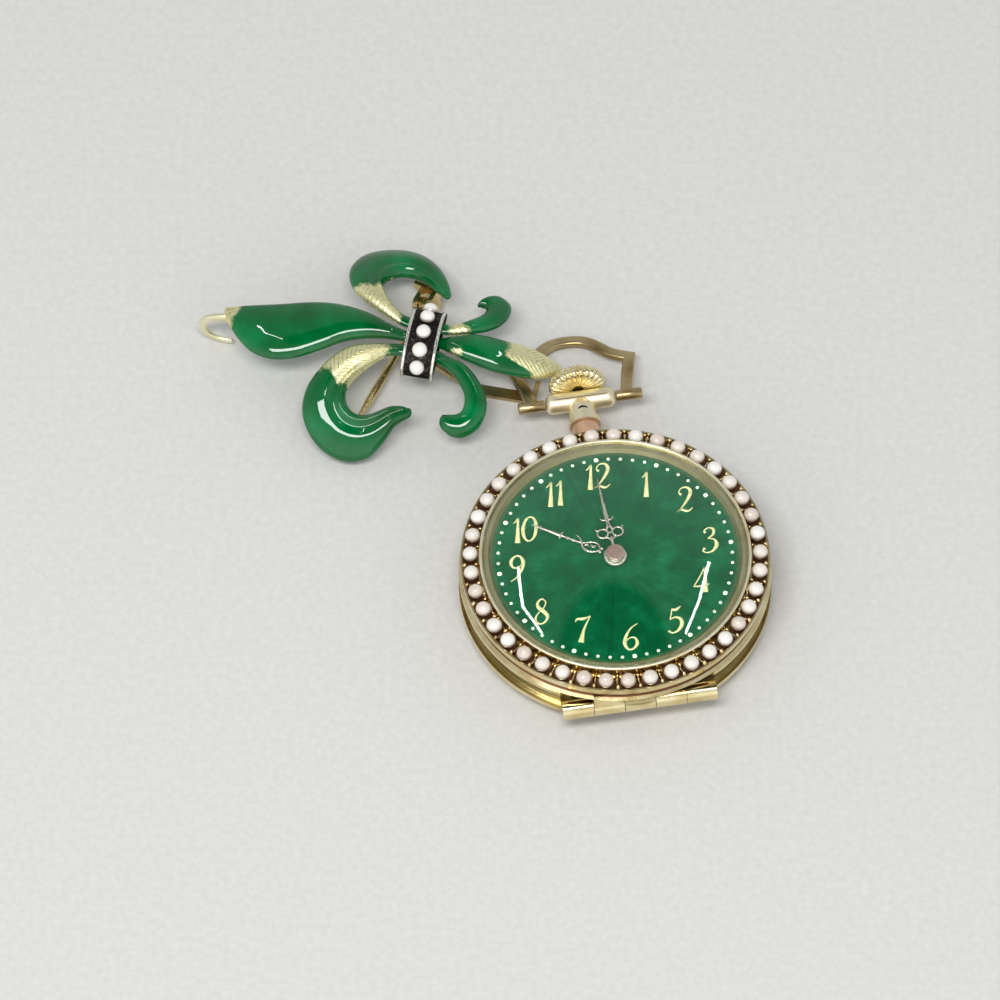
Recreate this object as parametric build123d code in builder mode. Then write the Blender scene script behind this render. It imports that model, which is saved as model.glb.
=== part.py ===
from build123d import *
from math import cos, radians, sin, sqrt
import os

# A fleur-de-lis brooch that carries a ladies' pendant watch by a hook.
# Millimetres, +Z up, lying face up. The origin is under the middle of the bounding box.

os.makedirs("parts", exist_ok=True)

# Places of the two halves on the surface they lie on
fleur_centre = (-5.12, 13.23)
fleur_turn = -11.0
watch_centre = (11.47, -10.03)
watch_turn = 9.3

# Fleur: the leaves lie on an arched surface, highest at the collar
dome_height = 5.1
dome_across_radius = 17.5
dome_crest_along = -3.0
dome_petal_radius = 140.0
dome_tail_radius = 50.0

# Collar band and its half pearls
collar_length = 2.9
collar_half_width = 3.4
collar_rise = 2.1
collar_base = 3.85
collar_wall = 0.35
collar_pearl_radius = 0.68
collar_pearl_seat = 0.04
collar_pearl_angles = (29.0, 60.0, 90.0, 120.0, 151.0)

# Hooks
top_hook_wire = 0.65
top_hook_across = -0.6
strip_width = 1.0
strip_thickness = 0.4
strip_across = -1.35
strip_top = 3.58
strip_low = 0.25

# Pin stem, its hinge and its catch
stem_diameter = 0.7
stem_tip_diameter = 0.16
stem_height = 1.2
stem_hinge_at = (-0.9, 5.9)
stem_catch_at = (-4.68, -7.7)
stem_overrun = 1.3
stem_point_length = 4.5
stem_cant = 25.0
ear_radius = 0.8
ear_thickness = 0.5
ear_gap = 0.08
eye_thickness = 0.8
rivet_radius = 0.3
running_gap = 0.03
hinge_post_at = (-1.3, 7.6)
hinge_post_depth = 0.9
hinge_post_top = 1.95
catch_width = 1.2
catch_bore = 0.36
catch_wall = 0.34
catch_mouth = 0.56
catch_post_depth = 0.5
catch_post_width = 0.8
catch_post_shift = 0.12
catch_post_top = 2.15

# Watch case
rim_radius = 13.5
band_radius = 13.05
band_bottom = 1.9
band_top = 3.75
band_middle = 2.85
case_bore = 11.0
back_flat_radius = 5.5
back_wall = 0.4
back_rim_low = 1.35
back_rim_high = 1.85
piece_gap = 0.05

# Bezel, its pearls, crystal and dial
bezel_low = 3.8
bezel_bore = 11.3
channel_floor = 5.5
rail_inner = 13.2
rail_outer = 13.35
rail_top = 5.8
lip_inner = 11.48
lip_outer = 11.74
lip_top = 6.7
crystal_seat = 6.4
dial_opening_radius = 10.7
pearl_count = 41
pearl_circle_radius = 12.5
pearl_radius = 0.71
pearl_centre_height = 6.05
crystal_radius = 11.4
crystal_edge_top = 6.78
crystal_crown = 8.2
crystal_wall = 0.5
dial_radius = 11.0
dial_top = 6.0
dial_thickness = 0.4
movement_radius = 10.85
movement_bottom = 2.2
lip_tab_turn = 22.0
lip_tab_width = 2.2
lip_tab_reach = 14.2

# Hinge at six o'clock, shared by the bezel and the back
hinge_back = 12.6
hinge_length = 13.4
knuckle_radius = 0.85
knuckle_gap = 0.06
hinge_pin_radius = 0.25
knuckle_count = 5
notch_depth = 11.65

# Pendant, bow and crown
pendant_reach = 18.4
neck_radius = 1.15
neck_ring_radius = 1.38
neck_flare_radius = 1.55
bulb_length = 6.1
bulb_radius = 0.88
bow_tilt = 17.0
bow_bar_width = 1.05
bow_bar_thickness = 0.6
sleeve_radius = 0.5
sleeve_start = 3.15
sleeve_end = 5.5
pivot_pin_radius = 0.25
pivot_hole_depth = 1.2
pivot_pin_reach = 1.1
crown_radius = 2.4
crown_start = 0.98
crown_end = 3.2
crown_foot_radius = 1.8
crown_end_radius = 1.25
crown_flutes = 24
crown_flute_depth = 0.16
crown_flute_width = 0.24
crown_stem_radius = 0.5

# Hands
hour_hand_low = 6.3
minute_hand_low = 6.6
hand_thickness = 0.16
hour_hub_radius = 1.15
minute_hub_radius = 0.85
cap_radius = 0.8
cap_low = 6.82
cap_high = 7.0
arbor_radius = 0.24
hour_pipe_radius = 0.42
hour_hand_turn = 60.0

# Sections of the centre leaf, from the petal's tip to the tail's tip.
# Columns: along and across of the right petal's side, then of the left petal's side,
# half thickness, lift off the arched surface.
centre_leaf_sections = [
    (-17.5, 0.30, -17.15, -1.20, 0.36, 0.0),
    (-16.2, 0.60, -16.0, -2.60, 0.60, 0.0),
    (-14.5, 0.95, -14.5, -3.75, 0.85, 0.0),
    (-12.6, 1.35, -12.6, -4.15, 1.00, 0.0),
    (-10.6, 1.85, -10.6, -3.75, 1.05, 0.0),
    (-8.6, 2.10, -8.6, -2.70, 1.05, 0.0),
    (-6.7, 1.95, -6.7, -1.55, 1.00, 0.0),
    (-4.7, 1.45, -4.8, -0.90, 0.85, 0.0),
    (-2.9, 0.80, -2.9, -0.55, 0.65, -0.15),
    (-1.3, 0.50, -1.3, -0.45, 0.40, -0.30),
    (1.3, 0.50, 1.3, -0.45, 0.40, -0.30),
    (2.5, 0.90, 2.5, -0.80, 0.62, -0.15),
    (3.9, 1.40, 3.9, -1.25, 0.80, 0.0),
    (5.4, 1.60, 5.4, -1.50, 0.90, 0.0),
    (7.2, 1.65, 7.2, -1.60, 0.90, 0.0),
    (9.0, 1.65, 9.0, -1.40, 0.85, 0.0),
    (10.6, 1.35, 10.4, -1.05, 0.65, 0.0),
    (11.6, 0.95, 11.4, -0.45, 0.42, 0.0),
    (12.1, 0.65, 12.0, 0.30, 0.14, 0.0),
]

# Sections of the left leaf, from the petal's tip through the collar to the small curl's tip.
# Columns: along and across of the outer edge, along and across of the inner edge,
# half thickness, lift off the arched surface.
left_leaf_sections = [
    (0.10, -7.25, -0.10, -6.65, 0.26, 0.0),
    (-0.90, -8.20, -0.75, -6.50, 0.55, 0.0),
    (-1.70, -9.60, -1.70, -6.70, 0.80, 0.0),
    (-2.80, -10.80, -2.60, -7.20, 0.95, 0.0),
    (-4.60, -11.30, -3.50, -7.65, 1.00, 0.0),
    (-6.60, -10.90, -4.50, -7.70, 1.00, 0.0),
    (-8.20, -9.80, -5.20, -7.30, 1.00, 0.0),
    (-9.15, -8.20, -5.60, -6.60, 1.00, 0.0),
    (-9.15, -6.40, -5.60, -5.80, 1.00, 0.0),
    (-8.50, -4.80, -5.20, -5.00, 0.95, 0.0),
    (-7.60, -3.40, -4.60, -4.20, 0.90, 0.0),
    (-6.20, -2.10, -3.80, -3.30, 0.80, 0.0),
    (-4.30, -1.40, -3.00, -2.50, 0.65, -0.10),
    (-2.60, -1.05, -2.30, -2.10, 0.46, -0.20),
    (-1.30, -0.85, -1.30, -1.95, 0.36, -0.26),
    (1.30, -0.85, 1.30, -1.95, 0.36, -0.24),
    (2.50, -1.25, 2.10, -2.20, 0.46, -0.20),
    (3.80, -1.65, 3.00, -2.75, 0.60, 0.0),
    (5.10, -2.55, 3.80, -3.50, 0.65, 0.0),
    (6.20, -3.90, 4.40, -4.30, 0.70, 0.0),
    (6.60, -5.40, 4.60, -5.10, 0.75, 0.0),
    (6.20, -6.90, 4.50, -5.80, 0.75, 0.0),
    (5.10, -7.90, 4.10, -6.20, 0.70, 0.0),
    (3.90, -7.90, 3.60, -6.45, 0.60, 0.0),
    (3.00, -7.30, 3.10, -6.75, 0.22, 0.0),
]

# Sections of the right leaf, in the same columns
right_leaf_sections = [
    (1.35, 5.55, 0.95, 5.00, 0.30, 0.0),
    (0.85, 6.90, 0.20, 5.50, 0.50, 0.0),
    (-0.20, 8.60, -0.60, 6.25, 0.75, 0.0),
    (-1.70, 10.00, -1.50, 6.85, 0.90, 0.0),
    (-3.40, 10.60, -2.50, 7.10, 0.95, 0.0),
    (-5.30, 10.20, -3.40, 6.90, 0.95, 0.0),
    (-6.90, 9.00, -4.10, 6.30, 0.95, 0.0),
    (-7.70, 7.30, -4.50, 5.60, 0.95, 0.0),
    (-7.75, 5.70, -4.50, 4.90, 0.95, 0.0),
    (-7.10, 4.20, -4.20, 4.20, 0.85, 0.0),
    (-5.80, 3.00, -3.70, 3.40, 0.75, 0.0),
    (-4.30, 2.05, -2.90, 2.60, 0.60, -0.10),
    (-2.60, 1.25, -2.20, 2.15, 0.42, -0.20),
    (-1.30, 0.95, -1.30, 2.05, 0.36, -0.26),
    (1.30, 0.95, 1.30, 2.05, 0.36, -0.24),
    (2.50, 1.15, 2.20, 2.05, 0.42, -0.20),
    (3.90, 1.55, 3.30, 2.70, 0.55, 0.0),
    (5.20, 2.25, 4.10, 3.45, 0.60, 0.0),
    (6.20, 3.20, 4.50, 4.00, 0.65, 0.0),
    (6.75, 4.50, 4.65, 4.35, 0.70, 0.0),
    (6.60, 5.80, 4.65, 4.70, 0.70, 0.0),
    (5.60, 6.55, 4.45, 4.95, 0.65, 0.0),
    (4.70, 6.20, 4.25, 5.00, 0.50, 0.0),
    (4.05, 5.60, 4.00, 5.05, 0.22, 0.0),
]


def arch_drop(distance, radius):
    """How far a circular arch has fallen at this distance from its crest."""
    return radius - sqrt(radius * radius - distance * distance)


def dome(along, across):
    """Height of the arched surface that the leaves lie on."""
    past_crest = along - dome_crest_along
    lengthwise = dome_tail_radius if past_crest > 0 else dome_petal_radius
    return dome_height - arch_drop(past_crest, lengthwise) - arch_drop(across, dome_across_radius)


def fleur_point(along, across, height):
    """A point of the fleur, given along and across its axis, in the part's frame."""
    turn = radians(fleur_turn)
    x = fleur_centre[0] + along * cos(turn) - across * sin(turn)
    y = fleur_centre[1] + along * sin(turn) + across * cos(turn)
    return Vector(x, y, height)


def leaf_plane(row):
    """The plane of a leaf's section, and the section's half width and half thickness."""
    outer_along, outer_across, inner_along, inner_across, half_thick, lift = row
    outer = fleur_point(outer_along, outer_across, dome(outer_along, outer_across) + lift)
    inner = fleur_point(inner_along, inner_across, dome(inner_along, inner_across) + lift)
    width_way = (outer - inner).normalized()
    plane = Plane(origin=(outer + inner) / 2, x_dir=width_way, z_dir=width_way.cross(Vector(0, 0, 1)))
    return plane, (outer - inner).length / 2, half_thick


def watch_point(right, up, height):
    """A point of the watch, given towards three and twelve o'clock, in the part's frame."""
    turn = radians(watch_turn)
    x = watch_centre[0] + right * cos(turn) - up * sin(turn)
    y = watch_centre[1] + right * sin(turn) + up * cos(turn)
    return Vector(x, y, height)


right_way = Vector(cos(radians(watch_turn)), sin(radians(watch_turn)), 0)
up_way = Vector(-sin(radians(watch_turn)), cos(radians(watch_turn)), 0)
watch_axis = Axis(watch_point(0, 0, 0), (0, 0, 1))


def watch_level(height):
    """The plane across the watch at this height, x to three and y to twelve o'clock."""
    return Plane(origin=watch_point(0, 0, height), x_dir=right_way, z_dir=(0, 0, 1))


def watch_side(right):
    """The upright plane square to the hinge at this distance, x to twelve o'clock, y up."""
    return Plane(origin=watch_point(right, 0, 0), x_dir=up_way, z_dir=right_way)


watch_section = Plane(origin=watch_point(0, 0, 0), x_dir=right_way, z_dir=-up_way)
pivot = watch_point(0, pendant_reach, band_middle)
fleur_along = (fleur_point(1, 0, 0) - fleur_point(0, 0, 0)).normalized()
fleur_across = (fleur_point(0, 1, 0) - fleur_point(0, 0, 0)).normalized()

# Leaves: each is one long domed strip through the collar. The centre leaf is the top petal
# and the tail; the left and right leaves are a side petal that curls back and a small curl.
leaf_tables = (
    ("centre_leaf", centre_leaf_sections),
    ("left_leaf", left_leaf_sections),
    ("right_leaf", right_leaf_sections),
)
for leaf_name, sections in leaf_tables:
    with BuildPart() as leaf:
        for row in sections:
            plane, half_width, half_thick = leaf_plane(row)
            with BuildSketch(plane):
                with BuildLine():
                    ThreePointArc((-half_width, 0), (0, half_thick), (half_width, 0))
                    ThreePointArc((half_width, 0), (0, -half_thick), (-half_width, 0))
                make_face()
        loft()
    leaf.part.label = leaf_name
    export_step(leaf.part, "parts/" + leaf_name + ".step")

# Collar: an arched band round the three leaves
collar_start = fleur_point(-collar_length / 2, 0, collar_base)
collar_plane = Plane(origin=collar_start, x_dir=fleur_across, z_dir=fleur_along)
with BuildPart() as collar:
    with BuildSketch(collar_plane):
        Ellipse(collar_half_width, collar_rise)
        Ellipse(collar_half_width - collar_wall, collar_rise - collar_wall, mode=Mode.SUBTRACT)
        with Locations((0, -collar_rise)):
            Rectangle(2 * collar_half_width, 2 * collar_rise, mode=Mode.SUBTRACT)
        with Locations((0, collar_wall / 2)):
            Rectangle(2 * collar_half_width - collar_wall, collar_wall)
    extrude(amount=collar_length)
collar.part.label = "collar"
export_step(collar.part, "parts/collar.step")

# Collar pearls: half pearls seated on the band
with BuildPart() as collar_pearls:
    for angle in collar_pearl_angles:
        across = collar_half_width * cos(radians(angle))
        height = collar_base + collar_rise * sin(radians(angle))
        lean = Vector(0, 0, sin(radians(angle)) / collar_rise) + fleur_across * (
            cos(radians(angle)) / collar_half_width
        )
        seat = fleur_point(0, across, height) + lean.normalized() * collar_pearl_seat
        with Locations(Plane(origin=seat, x_dir=fleur_along, z_dir=lean.normalized())):
            Sphere(
                collar_pearl_radius,
                arc_size1=0,
                align=(Align.CENTER, Align.CENTER, Align.MIN),
            )
collar_pearls.part.label = "collar_pearls"
export_step(collar_pearls.part, "parts/collar_pearls.step")

# Top hook: a wire bent into an open C under the petal's tip
hook_side = Plane(origin=fleur_point(0, top_hook_across, 0), x_dir=fleur_along, z_dir=-fleur_across)
with BuildPart() as top_hook:
    with BuildLine(hook_side) as top_hook_path:
        Line((-17.62, 4.06), (-18.2, 3.98))
        ThreePointArc((-18.2, 3.98), (-19.76, 2.35), (-17.0, 0.58))
    with BuildSketch(Plane(origin=top_hook_path.line @ 0, z_dir=top_hook_path.line % 0)):
        Circle(top_hook_wire / 2)
    sweep(path=top_hook_path.line)
top_hook.part.label = "top_hook"
export_step(top_hook.part, "parts/top_hook.step")

# Watch hook: a flat strip from under the collar, along the tail, turned up at its end
strip_side = Plane(origin=fleur_point(0, strip_across, 0), x_dir=fleur_along, z_dir=-fleur_across)
with BuildPart() as watch_hook:
    with BuildSketch(strip_side):
        with BuildLine():
            FilletPolyline(
                (-1.1, strip_top),
                (1.3, strip_top),
                (5.2, strip_low),
                (9.95, strip_low),
                (10.35, 2.5),
                radius=0.7,
            )
        trace(line_width=strip_thickness)
    extrude(amount=strip_width / 2, both=True)
watch_hook.part.label = "watch_hook"
export_step(watch_hook.part, "parts/watch_hook.step")

# Directions at the pin stem: along it, level across it, and the canted hinge axis
stem_start = fleur_point(*stem_hinge_at, stem_height)
stem_catch = fleur_point(*stem_catch_at, stem_height)
stem_way = (stem_catch - stem_start).normalized()
stem_level = Vector(0, 0, 1).cross(stem_way)
stem_axis_way = stem_level * cos(radians(stem_cant)) + Vector(0, 0, 1) * sin(radians(stem_cant))
swing_way = stem_axis_way.cross(stem_way).normalized()
stem_run = (stem_catch - stem_start).length + stem_overrun

# Pin stem: an eye on the rivet and a long point
eye_start = stem_start - stem_axis_way * (eye_thickness / 2)
eye_plane = Plane(origin=eye_start, x_dir=stem_way, z_dir=stem_axis_way)
point_start = stem_start + stem_way * (stem_run - stem_point_length)
with BuildPart() as pin_stem:
    with BuildSketch(eye_plane):
        Circle(ear_radius - 0.15)
    extrude(amount=eye_thickness)
    with BuildSketch(Plane(origin=stem_start, z_dir=stem_way)):
        Circle(stem_diameter / 2)
    extrude(amount=stem_run - stem_point_length)
    with BuildSketch(Plane(origin=point_start, z_dir=stem_way)):
        Circle(stem_diameter / 2)
    with BuildSketch(Plane(origin=stem_start + stem_way * stem_run, z_dir=stem_way)):
        Circle(stem_tip_diameter / 2)
    loft()
    with BuildSketch(eye_plane):
        Circle(rivet_radius + running_gap)
    extrude(amount=eye_thickness, mode=Mode.SUBTRACT)
pin_stem.part.label = "pin_stem"
export_step(pin_stem.part, "parts/pin_stem.step")

# Pin hinge: two ears and a rivet, on a post under the right leaf
ear_step = eye_thickness / 2 + ear_gap
rivet_half = ear_step + ear_thickness
rivet_start = stem_start - stem_axis_way * rivet_half
post_foot = fleur_point(*hinge_post_at, stem_height)
with BuildPart() as pin_hinge:
    for side in (1, -1):
        ear_origin = stem_start + stem_axis_way * (side * ear_step)
        with BuildSketch(Plane(origin=ear_origin, x_dir=stem_way, z_dir=stem_axis_way)):
            Circle(ear_radius)
            with Locations((-ear_radius, -ear_radius / 2)):
                Rectangle(2 * ear_radius, ear_radius)
        extrude(amount=side * ear_thickness)
    with BuildSketch(Plane(origin=rivet_start, z_dir=stem_axis_way)):
        Circle(rivet_radius)
    extrude(amount=2 * rivet_half)
    with BuildSketch(Plane(origin=post_foot, x_dir=stem_level, z_dir=(0, 0, 1))):
        Rectangle(2 * rivet_half, hinge_post_depth)
    extrude(amount=hinge_post_top - stem_height)
pin_hinge.part.label = "pin_hinge"
export_step(pin_hinge.part, "parts/pin_hinge.step")

# Pin catch: an open C round the stem, on a post under the left leaf
catch_start = stem_catch - stem_way * (catch_width / 2)
catch_plane = Plane(origin=catch_start, x_dir=swing_way, z_dir=stem_way)
catch_outer = catch_bore + catch_wall
with BuildPart() as pin_catch:
    with BuildSketch(catch_plane):
        Circle(catch_outer)
        Circle(catch_bore, mode=Mode.SUBTRACT)
        with Locations((catch_outer, 0)):
            Rectangle(2 * catch_outer, catch_mouth, mode=Mode.SUBTRACT)
    extrude(amount=catch_width)
    post_rise = catch_bore + catch_wall / 2
    post_foot = stem_catch + stem_way * catch_post_shift + Vector(0, 0, post_rise)
    with BuildSketch(Plane(origin=post_foot, x_dir=stem_way)):
        Rectangle(catch_post_depth, catch_post_width)
    extrude(amount=catch_post_top - stem_height - post_rise)
pin_catch.part.label = "pin_catch"
export_step(pin_catch.part, "parts/pin_catch.step")

# Back cover: a shallow dished disc with a flat to rest on and a rim
hinge_seat = (-hinge_back, band_middle)
knuckle_length = (hinge_length - (knuckle_count - 1) * knuckle_gap) / knuckle_count


def knuckle_start(index):
    """Where this knuckle of the hinge starts, from left to right."""
    return -hinge_length / 2 + index * (knuckle_length + knuckle_gap)


with BuildPart() as back_cover:
    with BuildSketch(watch_section):
        with BuildLine():
            Polyline((0, back_wall), (0, 0), (back_flat_radius, 0))
            TangentArc((back_flat_radius, 0), (rim_radius - 0.35, back_rim_low), tangent=(1, 0))
            Polyline(
                (rim_radius - 0.35, back_rim_low),
                (rim_radius, back_rim_low),
                (rim_radius, back_rim_high),
                (band_radius - 0.8, back_rim_high),
            )
            TangentArc((back_flat_radius, back_wall), (band_radius - 0.8, back_rim_high), tangent=(1, 0))
            Line((back_flat_radius, back_wall), (0, back_wall))
        make_face()
    revolve(axis=watch_axis)
    with BuildSketch(watch_level(0)):
        with Locations((0, -notch_depth - rim_radius / 2)):
            Rectangle(hinge_length + 0.1, rim_radius)
    extrude(amount=back_rim_high + 1, mode=Mode.SUBTRACT)
    with BuildSketch(watch_side(knuckle_start(3))):
        with Locations(hinge_seat):
            Circle(knuckle_radius)
        with BuildLine():
            Polyline(
                (-hinge_back - knuckle_radius + 0.15, band_middle - 0.4),
                (-hinge_back + knuckle_radius - 0.05, band_middle - 0.2),
                (-notch_depth - 0.08, back_rim_high),
                (-notch_depth + 0.3, back_rim_high),
                (-notch_depth + 0.3, back_rim_low),
                close=True,
            )
        make_face()
        with Locations(hinge_seat):
            Circle(hinge_pin_radius + running_gap, mode=Mode.SUBTRACT)
    extrude(amount=knuckle_length)
back_cover.part.label = "back_cover"
export_step(back_cover.part, "parts/back_cover.step")

# Case middle: the band, the three fixed knuckles, the pendant neck and the bow's bulb
with BuildPart() as case_middle:
    with BuildSketch(watch_level(band_bottom)):
        Circle(band_radius)
        Circle(case_bore, mode=Mode.SUBTRACT)
        with Locations((0, -notch_depth - rim_radius / 2)):
            Rectangle(hinge_length + 0.1, rim_radius, mode=Mode.SUBTRACT)
    extrude(amount=band_top - band_bottom)
    for index in (0, 2, 4):
        with BuildSketch(watch_side(knuckle_start(index))):
            with Locations(hinge_seat):
                Circle(knuckle_radius)
                with Locations((0.6, 0)):
                    Rectangle(1.2, 0.8)
                Circle(hinge_pin_radius + running_gap, mode=Mode.SUBTRACT)
        extrude(amount=knuckle_length)
    neck_section = Plane(origin=watch_point(0, 0, band_middle), x_dir=right_way, z_dir=(0, 0, 1))
    with BuildSketch(neck_section):
        with BuildLine():
            Polyline(
                (0, band_radius - 1.2),
                (neck_flare_radius, band_radius - 1.2),
                (neck_flare_radius, rim_radius + 0.2),
                (neck_radius, rim_radius + 1.5),
                (neck_radius, rim_radius + 2.1),
                (neck_ring_radius, rim_radius + 2.25),
                (neck_ring_radius, rim_radius + 2.85),
                (neck_radius, rim_radius + 3.0),
                (neck_radius, pendant_reach - 0.8),
                (bulb_radius - 0.08, pendant_reach),
                (0, pendant_reach),
                close=True,
            )
        make_face()
    revolve(axis=Axis(watch_point(0, 0, band_middle), up_way))
    with BuildSketch(Plane(origin=pivot - right_way * (bulb_length / 2), z_dir=right_way)):
        Circle(bulb_radius)
    extrude(amount=bulb_length)
    bulb_ends = edges().filter_by(GeomType.CIRCLE).filter_by(
        lambda edge: abs(abs((edge.arc_center - pivot).dot(right_way)) - bulb_length / 2) < 0.01
    )
    fillet(bulb_ends, radius=0.6)
    for side in (1, -1):
        hole_start = pivot + right_way * (side * bulb_length / 2)
        with BuildSketch(Plane(origin=hole_start, z_dir=right_way * -side)):
            Circle(pivot_pin_radius + running_gap)
        extrude(amount=pivot_hole_depth, mode=Mode.SUBTRACT)
    with BuildSketch(Plane(origin=pivot + up_way * (bulb_radius + 0.1), z_dir=-up_way)):
        Circle(crown_stem_radius + running_gap)
    extrude(amount=2.0, mode=Mode.SUBTRACT)
    with BuildSketch(watch_level(band_top + piece_gap / 2)):
        Circle(rim_radius + piece_gap)
    extrude(amount=2, mode=Mode.SUBTRACT)
    with BuildSketch(watch_level(band_bottom - piece_gap / 2)):
        Circle(rim_radius + piece_gap)
    extrude(amount=-2, mode=Mode.SUBTRACT)
case_middle.part.label = "case_middle"
export_step(case_middle.part, "parts/case_middle.step")

# Hinge pin: through the five knuckles
with BuildPart() as hinge_pin:
    with BuildSketch(watch_side(-hinge_length / 2)):
        with Locations(hinge_seat):
            Circle(hinge_pin_radius)
    extrude(amount=hinge_length)
hinge_pin.part.label = "hinge_pin"
export_step(hinge_pin.part, "parts/hinge_pin.step")

# Bezel: a rim, a channel for the pearls, a thin lip round the crystal and a sloped inner ring
with BuildPart() as bezel:
    with BuildSketch(watch_section):
        with BuildLine():
            Polyline(
                (bezel_bore, bezel_low),
                (rim_radius, bezel_low),
                (rim_radius, bezel_low + 0.4),
                (rail_inner - 0.25, bezel_low + 0.75),
            )
            Polyline(
                (rail_inner - 0.25, bezel_low + 0.75),
                (rail_outer, channel_floor - 0.3),
                (rail_outer, rail_top),
                (rail_inner, rail_top),
                (rail_inner, channel_floor),
                (lip_outer, channel_floor),
                (lip_outer, lip_top - 0.1),
                (lip_outer - 0.1, lip_top),
                (lip_inner, lip_top - 0.1),
                (lip_inner, crystal_seat),
                (bezel_bore - 0.35, crystal_seat),
                (dial_opening_radius, dial_top + 0.05),
                (bezel_bore, dial_top + 0.05),
                (bezel_bore, bezel_low),
            )
        make_face()
    revolve(axis=watch_axis)
    with BuildSketch(watch_level(bezel_low - 1)):
        with Locations((0, -notch_depth - rim_radius / 2)):
            Rectangle(hinge_length + 0.1, rim_radius)
    extrude(amount=1 + 0.45, mode=Mode.SUBTRACT)
    with BuildSketch(watch_side(knuckle_start(1))):
        with Locations(hinge_seat):
            Circle(knuckle_radius)
        with BuildLine():
            Polyline(
                (-hinge_back - knuckle_radius + 0.15, band_middle + 0.4),
                (-hinge_back + knuckle_radius - 0.05, band_middle + 0.2),
                (-notch_depth - 0.08, bezel_low + 0.05),
                (-notch_depth + 0.1, bezel_low + 0.05),
                (-notch_depth + 0.1, bezel_low + 0.7),
                (-hinge_back - 0.1, bezel_low + 0.7),
                close=True,
            )
        make_face()
        with Locations(hinge_seat):
            Circle(hinge_pin_radius + running_gap, mode=Mode.SUBTRACT)
    extrude(amount=knuckle_length)
    with BuildSketch(watch_level(bezel_low)):
        with PolarLocations(lip_tab_reach - 0.65, 1, start_angle=90 + lip_tab_turn):
            RectangleRounded(1.3, lip_tab_width, 0.5)
    extrude(amount=0.35)
bezel.part.label = "bezel"
export_step(bezel.part, "parts/bezel.step")

# Bezel pearls: a ring of half pearls in the channel
with BuildPart() as bezel_pearls:
    with Locations(watch_level(pearl_centre_height)):
        with PolarLocations(pearl_circle_radius, pearl_count, start_angle=90):
            Sphere(pearl_radius)
    with BuildSketch(watch_level(channel_floor + piece_gap)):
        Circle(rim_radius)
    extrude(amount=-1, mode=Mode.SUBTRACT)
bezel_pearls.part.label = "bezel_pearls"
export_step(bezel_pearls.part, "parts/bezel_pearls.step")

# Crystal: a domed glass inside the lip
with BuildPart() as crystal:
    with BuildSketch(watch_section):
        with BuildLine():
            Line((crystal_radius, crystal_seat + piece_gap), (crystal_radius, crystal_edge_top))
            TangentArc((0, crystal_crown), (crystal_radius, crystal_edge_top), tangent=(1, 0))
            Line((0, crystal_crown), (0, crystal_crown - crystal_wall))
            TangentArc(
                (0, crystal_crown - crystal_wall),
                (crystal_radius - crystal_wall, crystal_seat + piece_gap),
                tangent=(1, 0),
            )
            Line(
                (crystal_radius - crystal_wall, crystal_seat + piece_gap),
                (crystal_radius, crystal_seat + piece_gap),
            )
        make_face()
    revolve(axis=watch_axis)
crystal.part.label = "crystal"
export_step(crystal.part, "parts/crystal.step")

# Dial: an enamelled disc with a hole for the arbors
with BuildPart() as dial:
    with BuildSketch(watch_level(dial_top - dial_thickness)):
        Circle(dial_radius)
        Circle(hour_pipe_radius + piece_gap, mode=Mode.SUBTRACT)
    extrude(amount=dial_thickness)
dial.part.label = "dial"
export_step(dial.part, "parts/dial.step")

# Movement: a plain plate that fills the case under the dial
with BuildPart() as movement:
    with BuildSketch(watch_level(movement_bottom)):
        Circle(movement_radius)
    extrude(amount=dial_top - dial_thickness - piece_gap - movement_bottom)
    with BuildSketch(watch_level(dial_top - dial_thickness)):
        Circle(hour_pipe_radius + piece_gap)
    extrude(amount=-1.0, mode=Mode.SUBTRACT)
movement.part.label = "movement"
export_step(movement.part, "parts/movement.step")

# Crown: a fluted onion on a short stem in the bulb
crown_section = Plane(origin=pivot, x_dir=right_way, z_dir=(0, 0, 1))


def crown_outline(inset):
    """Half the crown's outline, drawn this far inside its full size."""
    foot = (crown_foot_radius - inset, crown_start)
    belly = (crown_radius - inset, (crown_start + crown_end) / 2 - 0.2)
    shoulder = (crown_end_radius - inset, crown_end - inset)
    with BuildLine() as outline:
        Line((0, crown_start), foot)
        ThreePointArc(foot, (crown_radius - 0.12 - inset, crown_start + 0.4), belly)
        ThreePointArc(belly, (crown_radius - 0.32 - inset, crown_end - 0.55), shoulder)
        Polyline(shoulder, (0, crown_end - inset), (0, crown_start))
    return outline.line.edges()


with BuildPart() as crown:
    with BuildSketch(crown_section):
        make_face(crown_outline(0))
    revolve(axis=Axis(pivot, up_way))
    for index in range(crown_flutes):
        flute_turn = 360 / crown_flutes * (index + 0.5)
        outward = right_way.rotate(Axis((0, 0, 0), up_way), flute_turn)
        with BuildSketch(Plane(origin=pivot, x_dir=outward, z_dir=outward.cross(up_way))):
            with Locations((crown_radius, crown_end / 2)):
                Rectangle(2 * crown_radius - 0.6, crown_end * 2)
            make_face(crown_outline(crown_flute_depth), mode=Mode.SUBTRACT)
        extrude(amount=crown_flute_width / 2, both=True, mode=Mode.SUBTRACT)
    with BuildSketch(Plane(origin=pivot + up_way * (crown_start + 0.1), z_dir=-up_way)):
        Circle(crown_stem_radius)
    extrude(amount=crown_start - 0.3)
crown.part.label = "crown"
export_step(crown.part, "parts/crown.step")

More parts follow.
